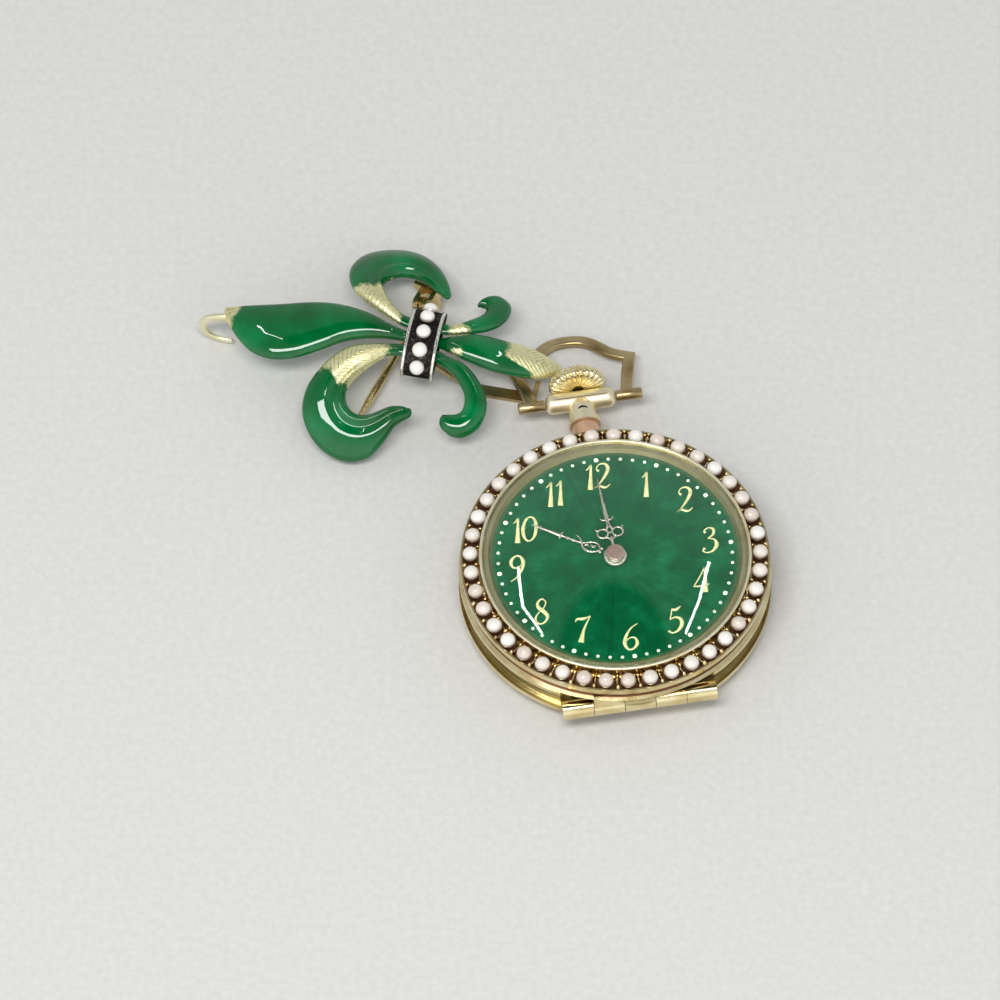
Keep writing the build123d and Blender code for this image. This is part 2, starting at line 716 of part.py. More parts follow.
# Bow: a flat bar bent to a shouldered loop, soldered to two sleeves that turn on the bulb
bow_way = up_way * cos(radians(bow_tilt)) - Vector(0, 0, 1) * sin(radians(bow_tilt))
bow_plane = Plane(origin=pivot, x_dir=right_way, z_dir=right_way.cross(bow_way))
bow_foot = (4.08, 0)
bow_shoulder = (5.07, 4.9)
bow_waist = (3.4, 5.98)
bow_temple = (2.07, 7.4)
bow_brow = (1.2, 7.9)
bow_apex = (0, 8.07)
with BuildPart() as bow:
    with BuildSketch(bow_plane):
        with BuildLine() as bow_line:
            Line(bow_foot, bow_shoulder)
            ThreePointArc(bow_shoulder, bow_waist, bow_temple)
            ThreePointArc(bow_temple, bow_brow, bow_apex)
            mirror(about=Plane.YZ)
        trace(line_width=bow_bar_width)
    extrude(amount=bow_bar_thickness / 2, both=True)
    for side in (1, -1):
        sleeve_face = pivot + right_way * (side * sleeve_start)
        with BuildSketch(Plane(origin=sleeve_face, z_dir=right_way * side)):
            Circle(sleeve_radius)
        extrude(amount=sleeve_end - sleeve_start)
        with BuildSketch(Plane(origin=sleeve_face, z_dir=right_way * -side)):
            Circle(pivot_pin_radius)
        extrude(amount=pivot_pin_reach)
bow.part.label = "bow"
export_step(bow.part, "parts/bow.step")


def hand_level(turn, height):
    """The plane of a hand at this height, with y along the hand."""
    level = watch_level(height)
    return level.rotated((0, 0, turn))


# Hour hand: an openwork hand on a pipe
with BuildPart() as hour_hand:
    with BuildSketch(hand_level(hour_hand_turn, hour_hand_low)):
        Circle(hour_hub_radius)
        with Locations((0, 2.35)):
            Ellipse(0.58, 1.3)
            Ellipse(0.4, 1.08, mode=Mode.SUBTRACT)
        with Locations((0, 3.95), (0, 4.4)):
            Circle(0.26)
        with Locations((0, 5.1)):
            RegularPolygon(0.45, 4)
        Polygon((-0.17, 3.5), (0.17, 3.5), (0.05, 7.85), (-0.05, 7.85))
        Circle(arbor_radius + running_gap, mode=Mode.SUBTRACT)
    extrude(amount=hand_thickness)
    with BuildSketch(watch_level(dial_top - 0.9)):
        Circle(hour_pipe_radius)
        Circle(arbor_radius + running_gap, mode=Mode.SUBTRACT)
    extrude(amount=hour_hand_low - dial_top + 0.9)
hour_hand.part.label = "hour_hand"
export_step(hour_hand.part, "parts/hour_hand.step")

# Minute hand: an openwork hand with a trefoil near its hub
with BuildPart() as minute_hand:
    with BuildSketch(hand_level(0, minute_hand_low)):
        Circle(minute_hub_radius)
        with Locations((-0.42, 1.6), (0.42, 1.6), (0, 2.3)):
            Circle(0.46)
        with Locations((-0.42, 1.6), (0.42, 1.6), (0, 2.3)):
            Circle(0.28, mode=Mode.SUBTRACT)
        Rectangle(0.2, 2.6, align=(Align.CENTER, Align.MIN))
        with Locations((0, 3.35)):
            RegularPolygon(0.5, 4)
        Polygon((-0.16, 2.6), (0.16, 2.6), (0.05, 7.85), (-0.05, 7.85))
        Circle(arbor_radius + running_gap, mode=Mode.SUBTRACT)
    extrude(amount=hand_thickness)
minute_hand.part.label = "minute_hand"
export_step(minute_hand.part, "parts/minute_hand.step")

# Hand cap: a flat cap and the arbor that carries the minute hand
with BuildPart() as hand_cap:
    with BuildSketch(watch_level(cap_low)):
        Circle(cap_radius)
    extrude(amount=cap_high - cap_low)
    with BuildSketch(watch_level(dial_top - 1.2)):
        Circle(arbor_radius)
    extrude(amount=cap_low - dial_top + 1.2)
    fillet(edges().group_by(Axis.Z)[-1], radius=0.08)
hand_cap.part.label = "hand_cap"
export_step(hand_cap.part, "parts/hand_cap.step")
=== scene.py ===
import math
import random

import bpy
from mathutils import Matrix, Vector


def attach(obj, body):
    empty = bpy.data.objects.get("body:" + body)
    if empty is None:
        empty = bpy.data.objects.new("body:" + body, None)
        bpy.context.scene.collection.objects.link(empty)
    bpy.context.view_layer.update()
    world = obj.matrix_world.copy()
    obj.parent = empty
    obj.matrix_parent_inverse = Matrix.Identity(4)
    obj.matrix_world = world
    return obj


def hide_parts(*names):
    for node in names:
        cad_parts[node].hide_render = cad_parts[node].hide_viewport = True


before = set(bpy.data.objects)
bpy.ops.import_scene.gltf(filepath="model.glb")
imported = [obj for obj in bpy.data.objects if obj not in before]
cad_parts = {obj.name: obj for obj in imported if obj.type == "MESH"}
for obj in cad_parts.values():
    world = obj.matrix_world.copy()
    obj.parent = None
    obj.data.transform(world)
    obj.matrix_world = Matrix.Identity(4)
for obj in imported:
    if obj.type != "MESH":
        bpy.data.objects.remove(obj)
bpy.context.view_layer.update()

# Table and light
# The jewel lies face up on plain pale card in a studio. A soft lamp hangs in front of it, narrow
# ones on both sides draw the arcs on the watch glass, and part of the ceiling is dark.
MM = 0.001


def linear(code):
    """Turns an sRGB hex colour to the linear values that shaders take."""
    channels = [int(code[i : i + 2], 16) / 255 for i in (1, 3, 5)]
    bent = [c / 12.92 if c <= 0.04045 else ((c + 0.055) / 1.055) ** 2.4 for c in channels]
    return (*bent, 1.0)


def add_node(owner, kind, settings=None, links=None):
    """Adds a shader node with its settings, and links sockets or other nodes' first sockets into it."""
    new = owner.node_tree.nodes.new("ShaderNode" + kind)
    for key, value in (settings or {}).items():
        if key == "stops":
            ramp = new.color_ramp.elements
            while len(ramp) < len(value):
                ramp.new(0.5)
            for stop, (place, code) in zip(ramp, value):
                stop.position = place
                stop.color = linear(code)
        elif isinstance(key, str) and hasattr(new, key):
            setattr(new, key, value)
        else:
            new.inputs[key].default_value = value
    for key, source in (links or {}).items():
        output = getattr(source, "outputs", [source])[0]
        owner.node_tree.links.new(output, new.inputs[key])
    return new


def new_material(name):
    """Starts an empty node material."""
    material = bpy.data.materials.new(name)
    material.use_nodes = True
    material.node_tree.nodes.clear()
    return material


def finish_material(material, shader):
    """Joins the last shader to the material's output."""
    add_node(material, "OutputMaterial", links={"Surface": shader.outputs[0]})
    return material


def grained_material(name, grain_mm, detail, tones, settings):
    """A material whose colour drifts between two tones, in grains of a real size."""
    grained = new_material(name)
    place = add_node(grained, "TexCoord").outputs["Object"]
    grain = add_node(
        grained, "TexNoise", {"Scale": 1 / (grain_mm * MM), "Detail": detail}, {"Vector": place}
    )
    tone = add_node(grained, "ValToRGB", {"stops": tones}, {"Fac": grain})
    face = add_node(grained, "BsdfPrincipled", settings, {"Base Color": tone})
    return finish_material(grained, face)


board = grained_material("matt_card", 0.6, 3.0, [(0.3, "#D4D2CD"), (0.7, "#DCDAD5")], {"Roughness": 0.8})
board_half = 1.2
board_mesh = bpy.data.meshes.new("board")
board_corners = [(-1, -1), (1, -1), (1, 1), (-1, 1)]
board_points = [(x * board_half, y * board_half, -0.02 * MM) for x, y in board_corners]
board_mesh.from_pydata(board_points, [], [(0, 1, 2, 3)])
board_mesh.materials.append(board)
board_object = bpy.data.objects.new("board", board_mesh)
bpy.context.scene.collection.objects.link(board_object)

studio = bpy.data.worlds.new("studio")
studio.use_nodes = True
studio.node_tree.nodes.clear()
studio_way = add_node(studio, "TexCoord")
studio_height = add_node(studio, "SeparateXYZ", links={"Vector": studio_way})
studio_walls = add_node(
    studio, "ValToRGB",
    {"stops": [(0.5, "#C4C7CA"), (0.72, "#AAAEB2"), (0.88, "#888C90"), (1.0, "#7A7E82")]},
    {"Fac": studio_height.outputs["Z"]}
)
# the dark part of the ceiling, an oval a little behind the point straight above
studio_oval = add_node(
    studio, "Mapping",
    {"vector_type": "TEXTURE", "Location": (0.0, 0.09, 0.0), "Scale": (0.2, 0.3, 1000.0)},
    {"Vector": studio_way}
)
studio_reach = add_node(studio, "VectorMath", {"operation": "LENGTH"}, {0: studio_oval})
studio_lit = add_node(
    studio, "MapRange", {"From Min": 0.93, "From Max": 1.07, "To Min": 0.04, "To Max": 1.0},
    {"Value": studio_reach.outputs["Value"]}
)
studio_front = add_node(
    studio, "MapRange", {"From Min": -0.75, "From Max": 0.0, "To Min": 2.0, "To Max": 1.0},
    {"Value": studio_height.outputs["Y"]}
)
studio_strength = add_node(studio, "Math", {"operation": "MULTIPLY"}, {0: studio_lit, 1: studio_front})
studio_light = add_node(studio, "Background", links={"Color": studio_walls, "Strength": studio_strength})
add_node(studio, "OutputWorld", links={"Surface": studio_light})
bpy.context.scene.world = studio
bpy.context.scene.view_settings.view_transform = "Standard"

lamps = [
    # name, place in metres, size in metres, watts, turn about the vertical in degrees
    ("front_softbox", (-0.07, -0.20, 0.50), (0.32, 0.12), 1.8, 0.0),
    ("left_strip", (-0.174, 0.212, 0.50), (0.006, 0.112), 0.05, 7.7),
    ("left_strip_end", (-0.146, 0.1205, 0.50), (0.005, 0.083), 0.03, 29.7),
    ("right_strip", (0.192, 0.225, 0.50), (0.006, 0.118), 0.05, -14.0),
    ("right_strip_end", (0.163, 0.126, 0.50), (0.005, 0.089), 0.03, -19.5),
]
for name, place, size, watts, turn_deg in lamps:
    lamp = bpy.data.lights.new(name, "AREA")
    lamp.shape = "RECTANGLE"
    lamp.size, lamp.size_y = size
    lamp.energy = watts
    lamp_object = bpy.data.objects.new(name, lamp)
    lamp_object.location = place
    lamp_object.rotation_euler = (0, 0, math.radians(turn_deg))
    bpy.context.scene.collection.objects.link(lamp_object)

# Camera
# It looks along +Y and down, as in the photograph, from far enough to keep the shapes square.
camera_target = Vector((1.53, -0.27, 0)) * MM
camera_rise = math.radians(57.5)
picture_width = 86.8 * MM
film_width = 36.0
lens = 600.0
camera_distance = picture_width * lens / film_width
camera = bpy.data.cameras.new("camera")
camera.lens = lens
camera.sensor_width = film_width
camera.clip_start = 0.01
camera.clip_end = 5.0
camera_object = bpy.data.objects.new("camera", camera)
camera_way = Vector((0, -math.cos(camera_rise), math.sin(camera_rise)))
camera_object.location = camera_target + camera_way * camera_distance
camera_object.rotation_euler = (math.pi / 2 - camera_rise, 0, 0)
bpy.context.scene.collection.objects.link(camera_object)
bpy.context.scene.camera = camera_object

# Leaves of the lily
# Each leaf is stamped from thin metal, domed, and fired with a thick green enamel. The roots and
# the tail's tip are left bare, engraved with slanting cuts and gilt.
fleur_centre = (-5.12, 13.23)
fleur_turn = math.radians(-11.0)
dome_height = 5.1
dome_across_radius = 17.5
dome_crest_along = -3.0
dome_petal_radius = 140.0
dome_tail_radius = 50.0


def dome(along, across):
    """Height in mm of the arched surface that the leaves lie on."""
    past = along - dome_crest_along
    length_radius = dome_tail_radius if past > 0 else dome_petal_radius
    lengthwise = length_radius - math.sqrt(length_radius**2 - past**2)
    return dome_height - lengthwise - dome_across_radius + math.sqrt(dome_across_radius**2 - across**2)


def fleur_point(along, across, height):
    """A point of the lily in metres, from its own millimetres."""
    x = fleur_centre[0] + along * math.cos(fleur_turn) - across * math.sin(fleur_turn)
    y = fleur_centre[1] + along * math.sin(fleur_turn) + across * math.cos(fleur_turn)
    return Vector((x, y, height)) * MM


def flow(rows, place):
    """A smooth curve through rows of numbers, read at a place counted in rows."""
    last = len(rows) - 1
    start = min(int(place), last - 1)
    t = place - start
    a, b, c, d = (rows[min(max(start + k, 0), last)] for k in (-1, 0, 1, 2))
    return [
        q + 0.5 * t * (r - p + t * (2 * p - 5 * q + 4 * r - s + t * (3 * (q - r) + s - p)))
        for p, q, r, s in zip(a, b, c, d)
    ]


def add_mesh(name, points, faces, material, body):
    """Adds a smooth mesh in metres that moves with a body."""
    mesh = bpy.data.meshes.new(name)
    mesh.from_pydata(points, [], faces)
    mesh.shade_smooth()
    mesh.materials.append(material)
    piece = bpy.data.objects.new(name, mesh)
    bpy.context.scene.collection.objects.link(piece)
    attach(piece, body)
    return piece


def skin(rings, first=0, capped=True):
    """Faces of a tube through rings of equal count, with its two ends closed."""
    count = len(rings[0])
    faces = []
    for i in range(len(rings) - 1):
        low, high = first + i * count, first + (i + 1) * count
        for k in range(count):
            faces.append((low + k, low + (k + 1) % count, high + (k + 1) % count, high + k))
    if capped:
        faces.append(tuple(first + k for k in reversed(range(count))))
        faces.append(tuple(first + (len(rings) - 1) * count + k for k in range(count)))
    return faces


def add_tube(name, rings, material, body, capped=True):
    """Adds a piece whose skin joins rings of points one to the next."""
    return add_mesh(name, [p for ring in rings for p in ring], skin(rings, capped=capped), material, body)


# Columns as in the solids: along and across of the outer edge, then of the inner edge, half
# thickness and lift, in mm. The curls end fuller than there.
centre_leaf_rows = [
    (-17.5, 0.30, -17.15, -1.20, 0.36, 0.0), (-16.2, 0.60, -16.0, -2.60, 0.60, 0.0),
    (-14.5, 0.95, -14.5, -3.75, 0.85, 0.0), (-12.6, 1.35, -12.6, -4.15, 1.00, 0.0),
    (-10.6, 1.85, -10.6, -3.75, 1.05, 0.0), (-8.6, 2.10, -8.6, -2.70, 1.05, 0.0),
    (-6.7, 1.95, -6.7, -1.55, 1.00, 0.0), (-4.7, 1.45, -4.8, -0.90, 0.85, 0.0),
    (-2.9, 0.80, -2.9, -0.55, 0.65, -0.15), (-1.3, 0.50, -1.3, -0.45, 0.40, -0.30),
    (1.3, 0.50, 1.3, -0.45, 0.40, -0.30), (2.5, 0.90, 2.5, -0.80, 0.62, -0.15),
    (3.9, 1.40, 3.9, -1.25, 0.80, 0.0), (5.4, 1.60, 5.4, -1.50, 0.90, 0.0),
    (7.2, 1.65, 7.2, -1.60, 0.90, 0.0), (9.0, 1.65, 9.0, -1.40, 0.85, 0.0),
    (10.6, 1.35, 10.4, -1.05, 0.65, 0.0), (11.6, 0.95, 11.4, -0.45, 0.42, 0.0),
    (12.1, 0.65, 12.0, 0.30, 0.14, 0.0)
]
left_leaf_rows = [
    (0.02, -7.42, -0.12, -6.55, 0.42, 0.0), (-0.90, -8.20, -0.75, -6.50, 0.58, 0.0),
    (-1.70, -9.60, -1.70, -6.70, 0.80, 0.0), (-2.80, -10.80, -2.60, -7.20, 0.95, 0.0),
    (-4.60, -11.30, -3.50, -7.65, 1.00, 0.0), (-6.60, -10.90, -4.50, -7.70, 1.00, 0.0),
    (-8.20, -9.80, -5.20, -7.30, 1.00, 0.0), (-9.15, -8.20, -5.60, -6.60, 1.00, 0.0),
    (-9.15, -6.40, -5.60, -5.80, 1.00, 0.0), (-8.50, -4.80, -5.20, -5.00, 0.95, 0.0),
    (-7.60, -3.40, -4.60, -4.20, 0.90, 0.0), (-6.20, -2.10, -3.80, -3.30, 0.80, 0.0),
    (-4.30, -1.40, -3.00, -2.50, 0.65, -0.10), (-2.60, -1.05, -2.30, -2.10, 0.46, -0.20),
    (-1.30, -0.85, -1.30, -1.95, 0.36, -0.26), (1.30, -0.85, 1.30, -1.95, 0.36, -0.24),
    (2.50, -1.25, 2.10, -2.20, 0.46, -0.20), (3.80, -1.65, 3.00, -2.75, 0.60, 0.0),
    (5.10, -2.55, 3.80, -3.50, 0.65, 0.0), (6.20, -3.90, 4.40, -4.30, 0.70, 0.0),
    (6.60, -5.40, 4.60, -5.10, 0.75, 0.0), (6.20, -6.90, 4.50, -5.80, 0.75, 0.0),
    (5.10, -7.90, 4.10, -6.20, 0.70, 0.0), (4.00, -8.05, 3.60, -6.35, 0.68, 0.0),
    (3.30, -7.75, 3.20, -6.45, 0.56, 0.0)
]
right_leaf_rows = [
    (1.35, 5.55, 0.95, 5.00, 0.30, 0.0), (0.85, 6.90, 0.20, 5.50, 0.50, 0.0),
    (-0.20, 8.60, -0.60, 6.25, 0.75, 0.0), (-1.70, 10.00, -1.50, 6.85, 0.90, 0.0),
    (-3.40, 10.60, -2.50, 7.10, 0.95, 0.0), (-5.30, 10.20, -3.40, 6.90, 0.95, 0.0),
    (-6.90, 9.00, -4.10, 6.30, 0.95, 0.0), (-7.70, 7.30, -4.50, 5.60, 0.95, 0.0),
    (-7.75, 5.70, -4.50, 4.90, 0.95, 0.0), (-7.10, 4.20, -4.20, 4.20, 0.85, 0.0),
    (-5.80, 3.00, -3.70, 3.40, 0.75, 0.0), (-4.30, 2.05, -2.90, 2.60, 0.60, -0.10),
    (-2.60, 1.25, -2.20, 2.15, 0.42, -0.20), (-1.30, 0.95, -1.30, 2.05, 0.36, -0.26),
    (1.30, 0.95, 1.30, 2.05, 0.36, -0.24), (2.50, 1.15, 2.20, 2.05, 0.42, -0.20),
    (3.90, 1.55, 3.30, 2.70, 0.55, 0.0), (5.20, 2.25, 4.10, 3.45, 0.60, 0.0),
    (6.20, 3.20, 4.50, 4.00, 0.65, 0.0), (6.75, 4.50, 4.65, 4.35, 0.70, 0.0),
    (6.60, 5.80, 4.65, 4.70, 0.70, 0.0), (5.60, 6.55, 4.45, 4.95, 0.65, 0.0),
    (4.75, 6.30, 4.25, 4.98, 0.58, 0.0), (4.25, 5.85, 4.05, 4.98, 0.44, 0.0)
]


def ease(value):
    """A smooth step from 0 to 1."""
    value = min(max(value, 0.0), 1.0)
    return value * value * (3 - 2 * value)


def bare_on_centre(along, across):
    """How far inside bare metal a point of the centre leaf is, in mm."""
    tail = along - (7.3 + 2.4 * ease((-0.2 - across) / 0.9))
    tip = -16.45 - along + 0.25 * across
    patch = 0.2 - math.hypot((along - 3.2) / 1.8, across + 0.75)
    return max(tail, tip, patch)


def bare_on_left(along, across):
    """The same for the left leaf: the root of its petal."""
    edge = across + 4.85 + 0.95 * ease((along + 7.3) / 1.0)
    return min(edge, -2.8 - along)


def bare_on_right(along, across):
    """The same for the right leaf: the roots of its petal and of its curl."""
    petal = min(4.34 + (along + 6.08) * 0.33 - across, -2.5 - along)
    curl = min(3.7 - along - (across - 1.6), along - 2.1)
    return max(petal, curl)


# Vitreous enamel over metal: glassy and deep green, a little cloudy, with soft waves in its face.
# Where it stops, engraved gilt metal shows, pale and bright, with dark cuts.
enamel = new_material("green_enamel_on_gilt")
cut_spacing_mm = 0.3
enamel_mm = add_node(enamel, "UVMap", {"uv_map": "leaf_mm"})
enamel_bare = add_node(enamel, "Attribute", {"attribute_name": "bare"})
enamel_place = add_node(enamel, "TexCoord").outputs["Object"]
edge_noise = add_node(
    enamel, "TexNoise", {"Scale": 1 / (0.9 * MM), "Detail": 4.0, "Roughness": 0.65},
    {"Vector": enamel_place}
)
edge_shift = add_node(enamel, "Math", {"operation": "MULTIPLY_ADD", 1: 1.6, 2: -0.8}, {0: edge_noise})
edge_sum = add_node(enamel, "Math", {"operation": "ADD"}, {0: enamel_bare.outputs["Fac"], 1: edge_shift})
bare_share = add_node(enamel, "MapRange", {"From Min": -0.22, "From Max": 0.22}, {"Value": edge_sum})
cloud = add_node(enamel, "TexNoise", {"Scale": 1 / (4.0 * MM), "Detail": 3.0}, {"Vector": enamel_place})
enamel_green = add_node(
    enamel, "ValToRGB", {"stops": [(0.3, "#00501F"), (0.55, "#00642E"), (0.75, "#007A42")]},
    {"Fac": cloud}
)
cut_axes = add_node(enamel, "SeparateXYZ", links={"Vector": enamel_mm})
cut_side = add_node(enamel, "Math", {"operation": "ABSOLUTE"}, {0: cut_axes.outputs["Y"]})
cut_folded = add_node(enamel, "CombineXYZ", links={"X": cut_axes, "Y": cut_side})
# slanting cuts that meet along the middle, and a few finer ones that cross them
cuts = []
for turn, spacing, faint in ((0.85, cut_spacing_mm, 0.0), (-0.6, cut_spacing_mm * 1.9, 0.6)):
    turned = add_node(enamel, "Mapping", {"Rotation": (0, 0, turn)}, {"Vector": cut_folded})
    wave = add_node(
        enamel, "TexWave",
        {"Scale": math.tau / (spacing * 20), "Distortion": 2.2, "Detail": 3.0, "Detail Scale": 1.6},
        {"Vector": turned}
    )
    cuts.append(
        add_node(
            enamel, "MapRange", {"From Min": 0.0, "From Max": 0.34, "To Min": faint},
            {"Value": wave.outputs["Fac"]}
        )
    )
cut_depth = add_node(
    enamel, "Math", {"operation": "MULTIPLY"}, {0: cuts[0].outputs[0], 1: cuts[1].outputs[0]}
)
cut_wear = add_node(
    enamel, "MapRange", {"From Min": 0.38, "From Max": 0.62, "To Min": 0.0, "To Max": 0.75},
    {"Value": edge_noise}
)
cut_face = add_node(enamel, "Mix", {"data_type": "FLOAT", 3: 1.0}, {0: cut_wear, 2: cut_depth})
bare_gold = add_node(
    enamel, "ValToRGB", {"stops": [(0.0, "#BBA85C"), (0.45, "#E9E09C"), (1.0, "#FAF5C6")]},
    {"Fac": cut_face}
)
leaf_waves = add_node(
    enamel, "TexNoise", {"Scale": 1 / (1.6 * MM), "Detail": 1.5}, {"Vector": enamel_place}
)
enamel_bump = add_node(enamel, "Bump", {"Strength": 0.16, "Distance": 0.08 * MM}, {"Height": leaf_waves})
cut_bump = add_node(enamel, "Bump", {"Strength": 0.55, "Distance": 0.03 * MM}, {"Height": cut_depth})
enamel_glass = add_node(
    enamel, "BsdfPrincipled",
    {
        "Roughness": 0.4, "Specular IOR Level": 0.0, "Coat Weight": 1.0, "Coat Roughness": 0.03,
        "Coat IOR": 1.55
    },
    {"Base Color": enamel_green, "Normal": enamel_bump, "Coat Normal": enamel_bump}
)
engraved_gilt = add_node(
    enamel, "BsdfPrincipled", {"Metallic": 1.0, "Roughness": 0.42},
    {"Base Color": bare_gold, "Normal": cut_bump}
)
enamel_mix = add_node(enamel, "MixShader", links={0: bare_share, 1: enamel_glass, 2: engraved_gilt})
finish_material(enamel, enamel_mix)

leaf_steps = 150
leaf_sides = 48
roll_height = 0.34
roll_hollow = 0.26
end_reach = 0.9


def add_leaf(name, rows, bare, roll_rows):
    """Makes a leaf: a domed strip whose inner edge is rolled up between two rows of its table."""
    rings, places = [], []
    last = len(rows) - 1
    # a rounded end goes on past the last row, and narrows as it does
    end_round = [(1.0, 0.06), (0.96, 0.28), (0.82, 0.57), (0.55, 0.84), (0.27, 0.96)]
    stations = [(0.0, -ahead, spread) for ahead, spread in end_round]
    stations += [(last * i / leaf_steps, 0.0, 1.0) for i in range(leaf_steps + 1)]
    stations += [(last, ahead, spread) for ahead, spread in reversed(end_round)]
    travelled = 0.0
    before = None
    for place, ahead, spread in stations:
        along_o, across_o, along_i, across_i, thick, lift = flow(rows, place)
        outer = fleur_point(along_o, across_o, dome(along_o, across_o) + lift)
        inner = fleur_point(along_i, across_i, dome(along_i, across_i) + lift)
        middle = (outer + inner) / 2
        wide = outer - inner
        way = wide.normalized()
        up = (Vector((0, 0, 1)) - way * way.z).normalized()
        if ahead:
            near = flow(rows, min(max(place, 0.1), last - 0.1))
            back = fleur_point((near[0] + near[2]) / 2, (near[1] + near[3]) / 2, 0)
            onward = (Vector((middle.x, middle.y, 0)) - back).normalized()
            middle = middle + onward * (abs(ahead) * end_reach * thick * MM)
        travelled += (middle - before).length / MM if before else 0.0
        before = middle
        roll = min(ease((place - roll_rows[0]) / 1.5), ease((roll_rows[1] - place) / 2.5))
        ring = []
        for k in range(leaf_sides):
            turn = math.tau * k / leaf_sides
            side, rise = math.cos(turn), math.sin(turn)
            height = rise * (0.92 if rise > 0 else 1.0)
            if rise > 0:
                height += roll * roll_height * math.exp(-(((side + 0.80) / 0.15) ** 2))
                height -= roll * roll_hollow * math.exp(-(((side + 0.46) / 0.17) ** 2))
            point = middle + way * (side * spread * wide.length / 2)
            ring.append(point + up * (height * spread * thick * MM))
            share = (1 - side) / 2
            along = along_o + (along_i - along_o) * share
            across = across_o + (across_i - across_o) * share
            places.append((bare(along, across), travelled, side * wide.length / MM / 2))
        rings.append(ring)
    piece = add_tube(name, rings, enamel, "pin")
    mesh = piece.data
    mesh.attributes.new("bare", "FLOAT", "POINT").data.foreach_set("value", [p[0] for p in places])
    uv = mesh.uv_layers.new(name="leaf_mm").data
    for loop in mesh.loops:
        uv[loop.index].uv = places[loop.vertex_index][1:]
    return piece


leaves = [
    # name, table, bare metal, rows between which the inner edge is rolled, solid
    ("lily_centre_leaf", centre_leaf_rows, bare_on_centre, (90.0, 95.0), "centre_leaf"),
    ("lily_left_leaf", left_leaf_rows, bare_on_left, (0.0, 11.5), "left_leaf"),
    ("lily_right_leaf", right_leaf_rows, bare_on_right, (0.5, 10.5), "right_leaf"),
]
for name, rows, bare, roll_rows, solid in leaves:
    leaf = add_leaf(name, rows, bare, roll_rows)
    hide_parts(solid)

# Collar
# A strap of silver bent over the three leaves, darkened by oxidising. Its two raised rims are rubbed
# bright, and the channel between them stays black.
collar_half_length = 1.45
collar_half_width = 3.4
collar_rise = 2.1
collar_base = 3.85
collar_wall = 0.35
rim_width = 0.3
rim_stand = 0.14


def collar_point(turn_deg, along, out):
    """A point over the collar's half ellipse, this far outside it."""
    turn = math.radians(turn_deg)
    lean = Vector((0, math.cos(turn) / collar_half_width, math.sin(turn) / collar_rise)).normalized()
    across = collar_half_width * math.cos(turn) + lean.y * out
    height = collar_base + collar_rise * math.sin(turn) + lean.z * out
    return fleur_point(along, across, height)


silver = new_material("oxidised_silver")
silver_place = add_node(silver, "TexCoord").outputs["Object"]
silver_rim = add_node(silver, "Attribute", {"attribute_name": "rubbed"})
silver_grain = add_node(
    silver, "TexNoise", {"Scale": 1 / (0.35 * MM), "Detail": 5.0, "Roughness": 0.7},
    {"Vector": silver_place}
)
silver_wear = add_node(silver, "Math", {"operation": "MULTIPLY_ADD", 1: 1.5, 2: -0.72}, {0: silver_grain})
silver_sum = add_node(
    silver, "Math", {"operation": "ADD", "use_clamp": True},
    {0: silver_rim.outputs["Fac"], 1: silver_wear}
)
silver_tone = add_node(
    silver, "ValToRGB", {"stops": [(0.05, "#2A2725"), (0.3, "#5C5853"), (0.85, "#F1EFE2")]},
    {"Fac": silver_sum}
)
silver_dull = add_node(silver, "MapRange", {"To Min": 0.55, "To Max": 0.2}, {"Value": silver_sum})
silver_bump = add_node(silver, "Bump", {"Strength": 0.5, "Distance": 0.05 * MM}, {"Height": silver_grain})
silver_face = add_node(
    silver, "BsdfPrincipled", {"Metallic": 1.0},
    {"Base Color": silver_tone, "Roughness": silver_dull, "Normal": silver_bump}
)
finish_material(silver, silver_face)

half = collar_half_length
collar_profile = [
    # along, outwards, rubbed bright
    (-half, -collar_wall, 0.0),
    (-half, rim_stand * 0.4, 0.5),
    (-half + 0.06, rim_stand * 0.9, 1.0),
    (-half + rim_width / 2, rim_stand, 1.0),
    (-half + rim_width - 0.06, rim_stand * 0.85, 1.0),
    (-half + rim_width, 0.02, 0.15),
    (-half + rim_width + 0.12, -0.05, 0.0),
    (0.0, -0.03, 0.0),
    (half - rim_width - 0.12, -0.05, 0.0),
    (half - rim_width, 0.02, 0.15),
    (half - rim_width + 0.06, rim_stand * 0.85, 1.0),
    (half - rim_width / 2, rim_stand, 1.0),
    (half - 0.06, rim_stand * 0.9, 1.0),
    (half, rim_stand * 0.4, 0.5),
    (half, -collar_wall, 0.0),
    (0.0, -collar_wall, 0.0),
]
collar_steps = 72
collar_rings = [
    [collar_point(180 * i / collar_steps, along, out) for along, out, _ in collar_profile]
    for i in range(collar_steps + 1)
]
strap_edge = collar_half_width - collar_wall / 2
strap_ring = [(-half, 0.0), (half, 0.0), (half, collar_wall), (-half, collar_wall)]
strap_rings = [
    [fleur_point(along, across, collar_base + up) for along, up in strap_ring]
    for across in (-strap_edge, -1.0, 1.0, strap_edge)
]
collar_points = [p for ring in collar_rings + strap_rings for p in ring]
collar_faces = skin(collar_rings)
collar_faces += skin(strap_rings, first=len(collar_rings) * len(collar_profile))
collar = add_mesh("collar_band", collar_points, collar_faces, silver, "pin")
rubbed = [row[2] for _ in collar_rings for row in collar_profile] + [0.0] * 16
collar.data.attributes.new("rubbed", "FLOAT", "POINT").data.foreach_set("value", rubbed)
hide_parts("collar")

